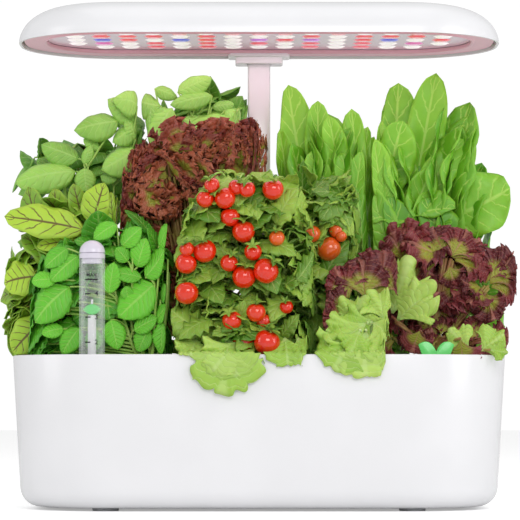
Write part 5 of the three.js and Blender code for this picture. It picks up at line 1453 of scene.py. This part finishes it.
BASIL_LEFT = [
    (158, 106, 112, 99, 32, 36, 30),
    (76, 172, 12, 183, 36, 40, 30), (79, 160, 42, 146, 28, 50, 55), (120, 122, 74, 131, 33, 45, 40),
    (146, 151, 101, 170, 38, 38, 30), (146, 124, 113, 143, 28, 46, 42), (84, 165, 92, 145, 12, 40, 42),
    (84, 168, 86, 192, 22, 32, 28), (101, 177, 118, 180, 14, 45, 40), (100, 150, 84, 140, 12, 50, 50),
    (145, 120, 108, 100, 30, 50, 46), (147, 140, 128, 118, 24, 46, 42), (138, 178, 146, 150, 26, 40, 34),
]
BASIL_RIGHT = [
    (172, 108, 147, 144, 34, 34, 26), (238, 122, 184, 128, 30, 30, 24), (276, 118, 226, 128, 34, 30, 24),
    (161, 107, 108, 102, 31, 48, 42), (165, 107, 150, 147, 33, 38, 28), (181, 119, 236, 141, 29, 44, 34),
    (226, 111, 262, 139, 33, 46, 38), (212, 96, 170, 105, 22, 42, 36), (178, 93, 212, 79, 24, 50, 55),
    (154, 90, 178, 100, 16, 56, 60), (212, 109, 238, 106, 14, 54, 60), (255, 110, 262, 140, 24, 56, 50),
    (150, 104, 146, 134, 22, 46, 40), (228, 150, 250, 124, 26, 40, 34), (220, 172, 252, 160, 28, 40, 32),
]
SPINACH_LEFT = [
    (304, 186, 286, 84, 42, 50, 56), (318, 182, 318, 100, 30, 48, 46), (342, 190, 329, 115, 29, 40, 32),
    (357, 212, 341, 152, 32, 38, 30), (300, 214, 292, 150, 30, 44, 40),
    (358, 205, 372, 126, 36, 50, 54), (290, 200, 276, 128, 30, 42, 36), (345, 205, 362, 176, 30, 36, 30),
    (362, 214, 352, 108, 34, 46, 46), (352, 216, 366, 150, 30, 32, 24), (325, 214, 312, 150, 32, 34, 26),
    (356, 256, 378, 190, 46, 64, 66), (372, 206, 382, 136, 46, 66, 67), (366, 270, 374, 220, 40, 64, 66),
]
SPINACH_RIGHT = [
    (392, 190, 398, 82, 50, 56, 62), (379, 204, 403, 120, 50, 42, 34), (414, 196, 437, 72, 44, 52, 54),
    (411, 214, 464, 138, 34, 40, 36), (438, 226, 519, 187, 66, 40, 32), (381, 222, 367, 154, 28, 36, 30),
    (405, 210, 412, 160, 24, 46, 44), (430, 236, 480, 214, 40, 44, 46),
    (392, 205, 374, 104, 40, 60, 66), (388, 210, 376, 142, 34, 36, 30), (440, 210, 470, 130, 36, 60, 66),
    (384, 216, 372, 120, 38, 48, 48), (386, 222, 378, 168, 30, 30, 22), (410, 222, 432, 168, 34, 38, 34),
    (390, 256, 362, 192, 46, 24, 22), (382, 206, 362, 138, 44, 24, 22), (392, 272, 366, 222, 42, 24, 22),
]
SORREL_ROWS = [
    (86, 231, 1, 217, 38, 0, -8), (93, 226, 107, 184, 36, 2, 6), (144, 226, 174, 202, 30, 0, -6),
    (38, 277, 1, 284, 40, -6, -10), (46, 319, 12, 353, 38, -8, -14), (79, 241, 38, 248, 20, 6, 8),
    (124, 228, 117, 193, 25, 2, 4), (124, 338, 144, 352, 20, -12, -14), (120, 232, 100, 196, 22, 6, 10),
]
MINT_ROWS = [
    (70, 287, 31, 323, 40, -48, -56), (158, 284, 118, 318, 42, -48, -56), (79, 256, 50, 282, 26, -44, -50),
    (146, 278, 179, 248, 30, -46, -52), (142, 278, 112, 272, 18, -46, -52),
    (138, 268, 147, 238, 24, -42, -48), (163, 247, 189, 226, 26, -40, -46),
    (173, 322, 169, 355, 34, -50, -57), (80, 328, 62, 354, 24, -50, -56), (68, 249, 44, 268, 22, -40, -46),
    (122, 247, 142, 228, 22, -40, -46), (117, 225, 94, 240, 20, -36, -40),
    (111, 320, 118, 350, 24, -52, -56), (134, 331, 162, 318, 22, -50, -54),
    (159, 321, 184, 306, 22, -48, -52), (64, 329, 40, 334, 18, -48, -54), (57, 280, 25, 282, 20, -44, -50),
    (109, 294, 114, 262, 20, -50, -54), (128, 262, 116, 248, 18, -42, -48),
    (150, 330, 138, 352, 22, -50, -56), (58, 302, 42, 290, 18, -42, -48),
    (128, 300, 126, 286, 14, -50, -55), (168, 300, 186, 286, 22, -46, -52),
    (96, 330, 92, 352, 20, -50, -55),
]


def make_basil():
    herb("basil_left", BASIL_LEFT, [
        (34, place(80, 172, 54), (62, 26, 34), (32, 50), 0.68, 0.15),
        (18, place(132, 158, 50), (18, 24, 38), (32, 46), 0.68, 0.15),
    ], [
        (70, (-204, -86), (22, 70), (130, 268), (30, 46), 0.68),
    ], BASIL, "basil", "stalk", 11, 290, (46, 22))
    herb("basil_right", BASIL_RIGHT, [
        (36, place(195, 125, 54), (44, 26, 32), (32, 50), 0.68, 0.15),
        (16, place(236, 136, 52), (20, 22, 26), (30, 44), 0.68, 0.15),
        (14, place(156, 140, 52), (16, 22, 34), (30, 44), 0.68, 0.15),
    ], [
        (66, (-105, -15), (22, 70), (130, 288), (30, 46), 0.68),
    ], BASIL, "basil", "stalk", 12, 310, (30, 22))


ROSETTE = {"out_shares": (0.5, 1), "low_shares": (0.30, 0.5), "base_share": 0.45, "tilt": 0.4, "face_in": 0.6,
           "face_front": 0.6}


def rosette(rng, count, plant, reach, height, size, aspect):
    """Upright leaves round a crown: each base stands on a stalk, and the tips lean outwards."""
    r = ROSETTE
    angle = rng.uniform(0, FULL_TURN, count)
    aside = np.stack([np.cos(angle), np.sin(angle)], axis=1)
    out = aside * rng.uniform(*r["out_shares"], count)[:, None] * np.array(reach)
    crown = np.array(PODS[plant])
    low = rng.uniform(*r["low_shares"], count) * height
    length = rng.uniform(*size, count)
    base = np.column_stack([crown + out * r["base_share"], CROWN + low])
    tip = np.column_stack([crown + out, CROWN + np.minimum(low + length, height)])
    inward = np.column_stack([-aside, np.full(count, r["tilt"])])
    facing = unit(inward * r["face_in"] + FRONT * r["face_front"])
    return base, tip, length * aspect * rng.uniform(*WIDTH_SPREAD, count), facing


# Plant, its rows, the two ends of its wall of leaves, and seed
SPINACH_PLANTS = (
    ("spinach_left", SPINACH_LEFT, (14.6, 104.5), 21),
    ("spinach_right", SPINACH_RIGHT, (86.5, 200), 22),
)


def make_spinach():
    for plant, rows, wall, seed in SPINACH_PLANTS:
        rng = np.random.default_rng(seed)
        left, right, _, _ = COLUMNS[plant]
        wide = right - left
        high = rosette(rng, 20, plant, (wide * 0.46, 26), 220, (70, 115), 0.5)
        low = rosette(rng, 12, plant, (wide * 0.48, 26), 165, (60, 90), 0.55)
        outer = hedge(rng, 44, wall, (20, 68), (135, 262), (45, 75), 0.55, -0.5)
        near = heroes(rows, 0.25)
        base, tip, width, facing = gathered(near, high, low, outer)
        points, leaf_map = blades(base, tip, width, facing, SPINACH, rng, rows=17, columns=11)
        leaf_piece(f"{plant}_leaves", plant, points, leaf_map, "spinach", rng, len(near[0]))
        stalks(f"{plant}_stalks", plant, base, "pale_stalk", rng, CROWN + 14, 6, (12, 8), 1.6)


def make_sorrel():
    herb("sorrel", SORREL_ROWS, [
        (22, place(80, 228, 0), (52, 18, 26), (34, 52), 0.58, 0.1),
        (12, place(40, 300, 0), (30, 18, 45), (34, 48), 0.6, 0.3),
    ], [
        (70, (-202, -114), (-20, 17), (130, 240), (32, 50), 0.62),
    ], SORREL, "sorrel", "red_stalk", 31, 225, (44, 14))


def make_mint():
    herb("mint", MINT_ROWS, [
        (34, place(108, 300, -44), (60, 12, 62), (28, 44), 0.7, 0.2),
        (20, place(140, 262, -44), (44, 12, 34), (26, 40), 0.7, 0.1),
    ], [
        (100, (-188, -71), (-50, -28), (122, 222), (28, 46), 0.74),
        (30, (-188, -71), (-44, -28), (118, 140), (28, 40), 0.74),
    ], MINT, "mint", "stalk", 41, 205, (44, 8))


MOUND = {"upright_share": 0.7, "lowered": -0.6, "reach_shares": (0.6, 1.0), "face_up": 0.55,
         "face_front": 0.75, "stray": 0.25}
TUFT = {"deepen": (1, 1.6, 1), "lowest": -0.5, "root_shares": (0.4, 0.7), "flatten": (1, 0.5, 1),
        "stray": 0.35, "lift": 0.35, "face_front": 0.8, "face_up": 0.3, "face_stray": 0.45}


def lettuce(plant, groups, seed, stalk, rows=11, columns=91):
    """A lettuce: groups of fans, each (look, kind, base, tip, facing), standing on the crown."""
    rng = np.random.default_rng(seed)
    bases = []
    for number, (look, kind, base, tip, facing) in enumerate(groups):
        points, leaf_map = fans(base, tip, facing, kind, rng, rows, columns)
        leaf_piece(f"{plant}_leaves_{number}", plant, points, leaf_map, look, rng)
        bases.append(base)
    stalks(f"{plant}_stalks", plant, np.concatenate(bases), stalk, rng, CROWN + 12, 6, (8, 6), 1.5)


def mound(rng, count, centre, radii, inner=0.2, lift=0.35):
    """Fans that stand out of a middle all round: base near it, tip on the mound, seen from the front."""
    m = MOUND
    direction = unit(rng.normal(size=(count, 3)) + UP * lift)
    upright = rng.uniform(size=count) < m["upright_share"]
    direction[:, 2] = np.abs(direction[:, 2]) * np.where(upright, 1, m["lowered"])
    reach = direction * np.asarray(radii) * rng.uniform(*m["reach_shares"], count)[:, None]
    stray = rng.normal(size=(count, 3)) * m["stray"]
    facing = unit(UP * m["face_up"] + FRONT * m["face_front"] + stray)
    return np.asarray(centre) + reach * inner, np.asarray(centre) + reach, facing


def tufts(rng, count, centre, radii, length):
    """Short frilled fans all over a mound, each standing out of it, so close that their frills meet."""
    t = TUFT
    direction = unit(rng.normal(size=(count, 3)) * t["deepen"])
    direction[:, 2] = np.where(direction[:, 2] < t["lowest"], -direction[:, 2], direction[:, 2])
    base = np.asarray(centre) + direction * np.asarray(radii) * rng.uniform(*t["root_shares"], count)[:, None]
    run = unit(direction * t["flatten"] + rng.normal(size=(count, 3)) * t["stray"] + UP * t["lift"])
    stray = rng.normal(size=(count, 3)) * t["face_stray"]
    facing = unit(FRONT * t["face_front"] + UP * t["face_up"] + stray)
    return base, base + run * rng.uniform(*length, count)[:, None], facing


FAN_LEAN = 0.3


def fan_heroes(rows):
    """Fans placed from the photograph: (base px, base py, tip px, tip py, base y, tip y)."""
    base, tip, _, facing = heroes([(*row[:4], 1, *row[4:]) for row in rows], FAN_LEAN)
    return base, tip, facing


FRILLY_TOP = ((146, 192), (184, 172), (222, 170), (250, 168))
FRILLY_UNDER = ((145, 230), (185, 225), (235, 225), (155, 270), (155, 315), (230, 290))
RED_SPOTS = ((405, 268), (448, 262), (485, 290), (430, 315))
RED_HANGING = [(462, 338, 466, 368, -78, -84), (420, 330, 412, 352, -40, -44)]
RED_PALE = [
    (478, 352, 505, 334, -60, -62), (470, 350, 452, 330, -60, -62), (490, 350, 508, 352, -66, -70),
    (392, 316, 408, 262, -40, -34), (396, 322, 428, 290, -44, -40),
]
GREEN_PALE = [
    (368, 322, 334, 344, -70, -90), (352, 330, 336, 366, -76, -100), (384, 326, 392, 362, -76, -100),
    (372, 322, 394, 334, -70, -88), (350, 330, 362, 298, -60, -64), (384, 322, 380, 290, -60, -66),
    (374, 320, 345, 330, -64, -78), (366, 330, 364, 374, -76, -101), (360, 330, 352, 350, -80, -96),
    (340, 340, 328, 330, -70, -80), (388, 340, 396, 318, -66, -76),
]
GREEN_RED = [
    (352, 310, 326, 300, -50, -60), (350, 300, 335, 268, -45, -50), (365, 300, 362, 258, -45, -48),
    (375, 300, 385, 250, -40, -42), (350, 318, 322, 322, -55, -66),
]


def make_lettuces():
    """The frilly, the red and the pale green lettuce, each from groups of fans."""
    rng = np.random.default_rng(51)
    top = gathered(*[tufts(rng, 30, place(*spot, -3), (34, 17, 32), (18, 30)) for spot in FRILLY_TOP])
    under = gathered(*[tufts(rng, 14, place(*spot, -3), (30, 16, 30), (20, 30)) for spot in FRILLY_UNDER])
    frilly = [("frilly_lettuce", FRILL, *fans_of) for fans_of in (top, under)]
    lettuce("frilly_lettuce", frilly, 51, "red_stalk", rows=8, columns=49)
    red = gathered(*[mound(rng, 11, place(*spot, -8), (50, 26, 48), 0.12) for spot in RED_SPOTS])
    low = gathered(*[mound(rng, 7, place(px, 340, -10), (36, 22, 24), 0.2, 0.1) for px in (400, 440, 480)])
    groups = [("red_lettuce", LEAF_LETTUCE, *fans_of) for fans_of in (red, low, fan_heroes(RED_HANGING))]
    lettuce("red_lettuce", [*groups, ("green_lettuce", OAK, *fan_heroes(RED_PALE))], 52, "red_stalk")
    lettuce("green_lettuce", [("green_lettuce", OAK, *fan_heroes(GREEN_PALE)),
                              ("red_lettuce", LEAF_LETTUCE, *fan_heroes(GREEN_RED))], 53, "pale_stalk")


# Tomatoes seen in the photograph: (px, py, radius px)


TOMATOES_FRONT = [
    (212, 185, 8), (205, 199, 9), (225, 198, 11), (236, 187, 8), (247, 189, 8.5), (273, 189, 11),
    (230, 217, 10), (243.5, 231.5, 11.5), (186, 249, 7.5), (204.5, 251, 12), (185, 263.5, 11),
    (229, 263, 9), (253, 252, 9), (244, 277, 12), (266, 271, 13), (185.7, 293, 12), (232, 320.5, 10),
    (243.5, 341, 11.5), (267, 342.6, 13.5), (256, 312.5, 10), (263, 321, 8), (277, 238, 8), (287, 307, 7),
]
TOMATOES_RIGHT = [(312, 234, 9), (329, 249, 12.5), (337, 230, 8), (342, 236, 6)]
TOMATO = {"depth_spread": 5, "tilt_spread": (0.4, 0.2, 0), "forward": (0.1, 0.9), "helper": (0.3, 1.0, 0.1),
          "rows": 17, "sides": 26, "dimple": 0.14, "dimple_width": 0.4, "ribs": 5, "rib": 0.015,
          "squat_share": 0.95}
RIPENING = {"from_px": 300, "at_px": 277, "tone": 0.8, "ripe_tones": (0, 0.12)}
SEPALS = {"count": 5, "height_share": 0.92, "turn": 6, "rise_shares": (0.05, 0.5), "width_share": 0.4}
TRUSS = {"aside_share": 0.25, "deep_share": 0.7, "rise_share": 1.1, "sink_share": 0.1, "lift": 2, "points": 7,
         "taper": (1, 1.4)}


def balls(centre, radius, axes):
    """Tomatoes: flattened spheres, faintly ribbed, with a dimple exp(-(theta / width)^2) at the stalk."""
    first, second, tilt = (axis[:, None, None] for axis in axes)
    theta = np.linspace(0, np.pi, TOMATO["rows"])[:, None]
    phi = round_angles(TOMATO["sides"])[None]
    dimple = TOMATO["dimple"] * np.exp(-((theta / TOMATO["dimple_width"]) ** 2))
    flat = np.sin(theta) * (1 + TOMATO["rib"] * np.cos(TOMATO["ribs"] * phi) * np.sin(theta))
    rise = np.cos(theta) * TOMATO["squat_share"] - dimple
    steps = ((first, flat * np.cos(phi)), (second, flat * np.sin(phi)), (tilt, rise))
    shape = sum(axis * amount[..., None] for axis, amount in steps)
    points = centre[:, None, None] + radius[:, None, None, None] * shape
    return points, blade_places(phi / FULL_TURN, 1 - theta / np.pi, points.shape[:3])


def tomatoes(plant, rows, depth, seed):
    """Tomatoes, each with five sepals and a stalk to the truss; returns where the stalks start."""
    rng = np.random.default_rng(seed)
    px, py, radius_px = np.array(rows, float).T
    count = len(px)
    y = depth + rng.uniform(-TOMATO["depth_spread"], TOMATO["depth_spread"], count)
    centre = in_column(plant, place(px, py, y))
    radius = radius_px * pixel_size(y)
    stray = rng.normal(size=(count, 3)) * TOMATO["tilt_spread"]
    tilt = unit(UP + stray + FRONT * rng.uniform(*TOMATO["forward"], (count, 1)))
    first = unit(np.cross(tilt, np.array(TOMATO["helper"])))
    second = np.cross(tilt, first)
    points, skin_map = balls(centre, radius, (first, second, tilt))
    ripening = (px > RIPENING["from_px"]) | (px == RIPENING["at_px"])
    tone = np.where(ripening, RIPENING["tone"], rng.uniform(*RIPENING["ripe_tones"], count))
    plant_piece(f"{plant}_tomatoes", plant, sheets_mesh(points * MM, wrap=True), "tomato",
                skin_map.reshape(-1, 2), np.repeat(tone, TOMATO["rows"] * TOMATO["sides"]))
    top = centre + tilt * (radius * SEPALS["height_share"])[:, None]
    sepals = SEPALS["count"]
    angle = round_angles(sepals)[None, :, None] + rng.uniform(0, SEPALS["turn"], (count, 1, 1))
    out = first[:, None] * np.cos(angle) + second[:, None] * np.sin(angle)
    rise = tilt[:, None] * rng.uniform(*SEPALS["rise_shares"], (count, sepals, 1))
    tips = (top[:, None] + (out + rise) * radius[:, None, None]).reshape(-1, 3)
    roots, facing = np.repeat(top, sepals, axis=0), np.repeat(tilt, sepals, axis=0)
    width = np.repeat(radius * SEPALS["width_share"], sepals)
    sepal_points, sepal_map = blades(roots, tips, width, facing, SEPAL, rng, 6, 3)
    leaf_piece(f"{plant}_sepals", plant, sepal_points, sepal_map, "tomato_leaf", rng)
    towards = (PODS[plant] - top[:, :2]) * (TRUSS["aside_share"], TRUSS["deep_share"])
    knot = top + np.column_stack([towards, radius * TRUSS["rise_share"]])
    start = top - tilt * (radius * TRUSS["sink_share"])[:, None]
    paths = in_column(plant, bow(start, knot, UP * TRUSS["lift"], np.linspace(0, 1, TRUSS["points"])))
    thickness = np.linspace(*TRUSS["taper"], TRUSS["points"]) * sizes().truss_radius
    truss = tubes(paths * MM, np.broadcast_to(thickness, paths.shape[:2]), THIN_SIDES)
    plant_piece(f"{plant}_trusses", plant, truss, "stalk")
    return knot


TOMATO_PLANTS = (
    ("tomato_front", TOMATOES_FRONT, -76, [
        (60, place(242, 262, -50), (56, 20, 78), (22, 36), 0.6, 0.25),
        (50, place(236, 335, -58), (54, 30, 26), (22, 36), 0.62, 0.3),
        (24, place(262, 205, -50), (40, 18, 24), (20, 34), 0.6, 0.1),
    ], (150, (-68, 49), (-68, -30), (120, 270), (26, 44), 0.66), 250, (30, 10), 61),
    ("tomato_right", TOMATOES_RIGHT, -20, [
        (50, place(318, 225, 2), (40, 14, 40), (22, 40), 0.6, 0.2),
        (20, place(342, 215, -10), (22, 10, 28), (30, 44), 0.6, 0.3),
    ], (100, (7, 84), (-20, 18), (122, 262), (28, 46), 0.66), 250, (24, 12), 62),
)
LOW_LEAVES = [
    (230, 334, 222, 388, -74, -102), (240, 340, 214, 366, -76, -100), (226, 345, 236, 374, -76, -100),
    (300, 336, 314, 358, -76, -99), (285, 336, 290, 362, -76, -99), (196, 338, 190, 354, -72, -94),
]


def make_tomato_plants():
    """Both tomato plants, and the loose leaves that hang over the tank from the front one."""
    for plant, rows, depth, clouds, wall, top, spread, seed in TOMATO_PLANTS:
        knots = tomatoes(plant, rows, depth, seed)
        rng = np.random.default_rng(seed)
        base, tip, width, facing = gathered(*[cloud(rng, *row) for row in clouds], hedge(rng, *wall))
        points, leaf_map = blades(base, tip, width, facing, TOMATO_LEAF, rng, 15, 9)
        leaf_piece(f"{plant}_leaves", plant, points, leaf_map, "tomato_leaf", rng)
        stalks(f"{plant}_stalks", plant, np.concatenate([base, knots]), "stalk", rng, top, 6, spread)
    rng = np.random.default_rng(63)
    points, leaf_map = fans(*fan_heroes(LOW_LEAVES), OAK, rng)
    leaf_piece("tomato_front_low_leaves", "tomato_front", points, leaf_map, "green_lettuce", rng)


# Camera, floor and light


# Name, place, size and power
SOFT_BOXES = [
    ("front_soft_box", (0.5, -2.4, 1.3), (1.2, 0.9), 17), ("right_soft_box", (1.9, -0.9, 0.9), (0.8, 1.2), 9),
    ("left_soft_box", (-1.9, -0.6, 0.9), (0.8, 1.2), 6), ("top_soft_box", (0, 0.2, 2.2), (1.6, 1.6), 6),
]
STAGE = {"world": 0.6, "world_seen": 0.42, "reach": 6.0, "pale": (0.93, 0.93, 0.93),
         "paler": (0.95, 0.95, 0.95), "patches": 3.0, "roughness": 0.85, "floor_seen": 0.35}
WHITE = (1, 1, 1)


def make_camera():
    """The photograph's view: from just above the tank's middle, level, looking slightly up."""
    c = CAMERA
    camera = new_object("camera", bpy.data.cameras.new("camera"))
    bpy.context.scene.camera = camera
    camera.location = (c["x"], c["y"], c["z"])
    pitch = math.atan((c["horizon_px"] - c["frame_px"] / 2) / c["focal_px"])
    turn = math.atan(c["aside_px"] / c["focal_px"])
    camera.rotation_euler = (QUARTER + pitch, 0, -turn)
    camera.data.lens = c["lens"]
    camera.data.sensor_width = c["sensor"]
    camera.data.clip_start = c["near"]
    camera.data.clip_end = c["far"]


def area_light(name, place, size, power, aim=(0, 0, 0.2), colour=WHITE):
    light = bpy.data.lights.new(name, "AREA")
    light.shape = "RECTANGLE"
    light.size, light.size_y = size
    light.energy = power
    light.color = colour
    lamp = new_object(name, light)
    lamp.location = place
    lamp.rotation_euler = (Vector(aim) - Vector(place)).to_track_quat("-Z", "Y").to_euler()
    return lamp


def seen_by_camera(tree):
    """1 for rays that come from the camera, and 0 for all others."""
    return Wire(tree, add_node(tree, "ShaderNodeLightPath"), "Is Camera Ray")


def make_stage():
    """A plain pale floor under a white world, and soft lights from both sides and above."""
    world = bpy.data.worlds.new("studio")
    bpy.context.scene.world = world
    world.use_nodes = True
    tree = world.node_tree
    strength = seen_by_camera(tree) * STAGE["world_seen"] + STAGE["world"]
    fill(tree, tree.nodes["Background"], Color=WHITE, Strength=strength)
    bpy.context.scene.view_settings.view_transform = "Standard"
    reach = STAGE["reach"]
    corners = [(-reach, -reach, 0), (reach, -reach, 0), (reach, reach, 0), (-reach, reach, 0)]
    mesh = bpy.data.meshes.new("floor")
    mesh.from_pydata(corners, [], [(0, 1, 2, 3)])
    look, tree, shader = new_material("Pale floor")
    fill(tree, shader, Base_Color=mixed(tree, noise(tree, STAGE["patches"]), STAGE["pale"], STAGE["paler"]),
         Roughness=STAGE["roughness"], Emission_Color=WHITE,
         Emission_Strength=seen_by_camera(tree) * STAGE["floor_seen"])
    mesh.materials.append(look)
    new_object("floor", mesh)
    for soft_box in SOFT_BOXES:
        area_light(*soft_box)
    glow = area_light("lamp_glow", (0, 0, 0.379), (0.30, 0.11), 0.11, aim=(0, 0, 0), colour=(1, 0.86, 0.92))
    glow.visible_camera = False


# Operators: one for each group of pieces


class GARDEN_OT_looks(bpy.types.Operator):
    """Makes every material and shared effect of the garden"""

    bl_idname = "garden.looks"
    bl_label = "Make materials"

    def execute(self, context):
        make_looks()
        return {"FINISHED"}


class GARDEN_OT_camera(bpy.types.Operator):
    """Places the camera at the photograph's viewing angle"""

    bl_idname = "garden.camera"
    bl_label = "Place camera"

    def execute(self, context):
        make_camera()
        return {"FINISHED"}


class GARDEN_OT_stage(bpy.types.Operator):
    """Makes the pale floor and the soft studio light"""

    bl_idname = "garden.stage"
    bl_label = "Make stage"

    def execute(self, context):
        make_stage()
        return {"FINISHED"}


class GARDEN_OT_tank(bpy.types.Operator):
    """Makes the glossy water tank with its rounded bottom and rim"""

    bl_idname = "garden.tank"
    bl_label = "Make tank"

    def execute(self, context):
        make_tank()
        return {"FINISHED"}


class GARDEN_OT_feet(bpy.types.Operator):
    """Makes the four soft feet"""

    bl_idname = "garden.feet"
    bl_label = "Make feet"

    def execute(self, context):
        make_feet()
        return {"FINISHED"}


class GARDEN_OT_works(bpy.types.Operator):
    """Finishes the deck, the dry housing, the boards, the socket and the pump"""

    bl_idname = "garden.works"
    bl_label = "Finish deck and works"

    def execute(self, context):
        make_works()
        return {"FINISHED"}


class GARDEN_OT_baskets(bpy.types.Operator):
    """Makes the ribbed net baskets"""

    bl_idname = "garden.baskets"
    bl_label = "Make baskets"

    def execute(self, context):
        make_baskets()
        return {"FINISHED"}


class GARDEN_OT_sponges(bpy.types.Operator):
    """Makes the foam plugs that hold the roots"""

    bl_idname = "garden.sponges"
    bl_label = "Make root foam"

    def execute(self, context):
        make_sponges()
        return {"FINISHED"}


class GARDEN_OT_post(bpy.types.Operator):
    """Finishes the telescopic post and the block on its end"""

    bl_idname = "garden.post"
    bl_label = "Make post"

    def execute(self, context):
        make_post()
        return {"FINISHED"}


class GARDEN_OT_hood(bpy.types.Operator):
    """Makes the domed hood of the lamp and its button"""

    bl_idname = "garden.hood"
    bl_label = "Make lamp hood"

    def execute(self, context):
        make_lamp_shell()
        return {"FINISHED"}


class GARDEN_OT_lamp_frame(bpy.types.Operator):
    """Makes the smooth frame under the hood"""

    bl_idname = "garden.lamp_frame"
    bl_label = "Make lamp frame"

    def execute(self, context):
        make_lamp_frame()
        return {"FINISHED"}


class GARDEN_OT_lenses(bpy.types.Operator):
    """Makes the lens panel and its lit lenses"""

    bl_idname = "garden.lenses"
    bl_label = "Make lens panel"

    def execute(self, context):
        make_lens_panel()
        return {"FINISHED"}


class GARDEN_OT_gauge(bpy.types.Operator):
    """Makes the clear gauge, its cap, marks, float and pointer"""

    bl_idname = "garden.gauge"
    bl_label = "Make water gauge"

    def execute(self, context):
        make_gauge()
        return {"FINISHED"}


class GARDEN_OT_filler(bpy.types.Operator):
    """Finishes the fill cap and its sprout handle"""

    bl_idname = "garden.filler"
    bl_label = "Make filler"

    def execute(self, context):
        make_filler()
        return {"FINISHED"}


class GARDEN_OT_leaf_looks(bpy.types.Operator):
    """Makes the leaf, stalk and tomato materials"""

    bl_idname = "garden.leaf_looks"
    bl_label = "Make leaf materials"

    def execute(self, context):
        make_leaf_looks()
        return {"FINISHED"}


class GARDEN_OT_basil(bpy.types.Operator):
    """Grows the two basil plants"""

    bl_idname = "garden.basil"
    bl_label = "Grow basil"

    def execute(self, context):
        make_basil()
        return {"FINISHED"}


class GARDEN_OT_spinach(bpy.types.Operator):
    """Grows the two spinach plants"""

    bl_idname = "garden.spinach"
    bl_label = "Grow spinach"

    def execute(self, context):
        make_spinach()
        return {"FINISHED"}


class GARDEN_OT_sorrel(bpy.types.Operator):
    """Grows the red-veined sorrel"""

    bl_idname = "garden.sorrel"
    bl_label = "Grow sorrel"

    def execute(self, context):
        make_sorrel()
        return {"FINISHED"}


class GARDEN_OT_mint(bpy.types.Operator):
    """Grows the mint"""

    bl_idname = "garden.mint"
    bl_label = "Grow mint"

    def execute(self, context):
        make_mint()
        return {"FINISHED"}


class GARDEN_OT_lettuces(bpy.types.Operator):
    """Grows the frilly, the red and the pale green lettuce"""

    bl_idname = "garden.lettuces"
    bl_label = "Grow lettuces"

    def execute(self, context):
        make_lettuces()
        return {"FINISHED"}


class GARDEN_OT_tomato_plants(bpy.types.Operator):
    """Grows the two tomato plants with their fruit"""

    bl_idname = "garden.tomato_plants"
    bl_label = "Grow tomatoes"

    def execute(self, context):
        make_tomato_plants()
        return {"FINISHED"}


OPERATORS = (
    GARDEN_OT_looks,
    GARDEN_OT_camera,
    GARDEN_OT_stage,
    GARDEN_OT_tank,
    GARDEN_OT_feet,
    GARDEN_OT_works,
    GARDEN_OT_baskets,
    GARDEN_OT_sponges,
    GARDEN_OT_post,
    GARDEN_OT_hood,
    GARDEN_OT_lamp_frame,
    GARDEN_OT_lenses,
    GARDEN_OT_gauge,
    GARDEN_OT_filler,
    GARDEN_OT_leaf_looks,
    GARDEN_OT_basil,
    GARDEN_OT_spinach,
    GARDEN_OT_sorrel,
    GARDEN_OT_mint,
    GARDEN_OT_lettuces,
    GARDEN_OT_tomato_plants,
)


class GARDEN_PT_panel(bpy.types.Panel):
    """Lists the settings and the steps that build the garden"""

    bl_label = "Countertop garden"
    bl_idname = "GARDEN_PT_panel"
    bl_space_type = "VIEW_3D"
    bl_region_type = "UI"
    bl_category = "Garden"

    def draw(self, context):
        for settings in (context.scene.garden_sizes, context.scene.garden_colours):
            for name in settings.bl_rna.properties.keys():
                if name not in {"rna_type", "name"}:
                    self.layout.prop(settings, name)
        for operator in OPERATORS:
            self.layout.operator(operator.bl_idname)


CLASSES = (GardenSizes, GardenColours, *OPERATORS, GARDEN_PT_panel)


def register():
    for item in CLASSES:
        bpy.utils.register_class(item)
    bpy.types.Scene.garden_sizes = bpy.props.PointerProperty(type=GardenSizes)
    bpy.types.Scene.garden_colours = bpy.props.PointerProperty(type=GardenColours)


def unregister():
    del bpy.types.Scene.garden_colours
    del bpy.types.Scene.garden_sizes
    for item in reversed(CLASSES):
        bpy.utils.unregister_class(item)


def main():
    register()
    for operator in OPERATORS:
        group, step = operator.bl_idname.split(".")
        getattr(getattr(bpy.ops, group), step)()


if __name__ == "__main__":
    main()
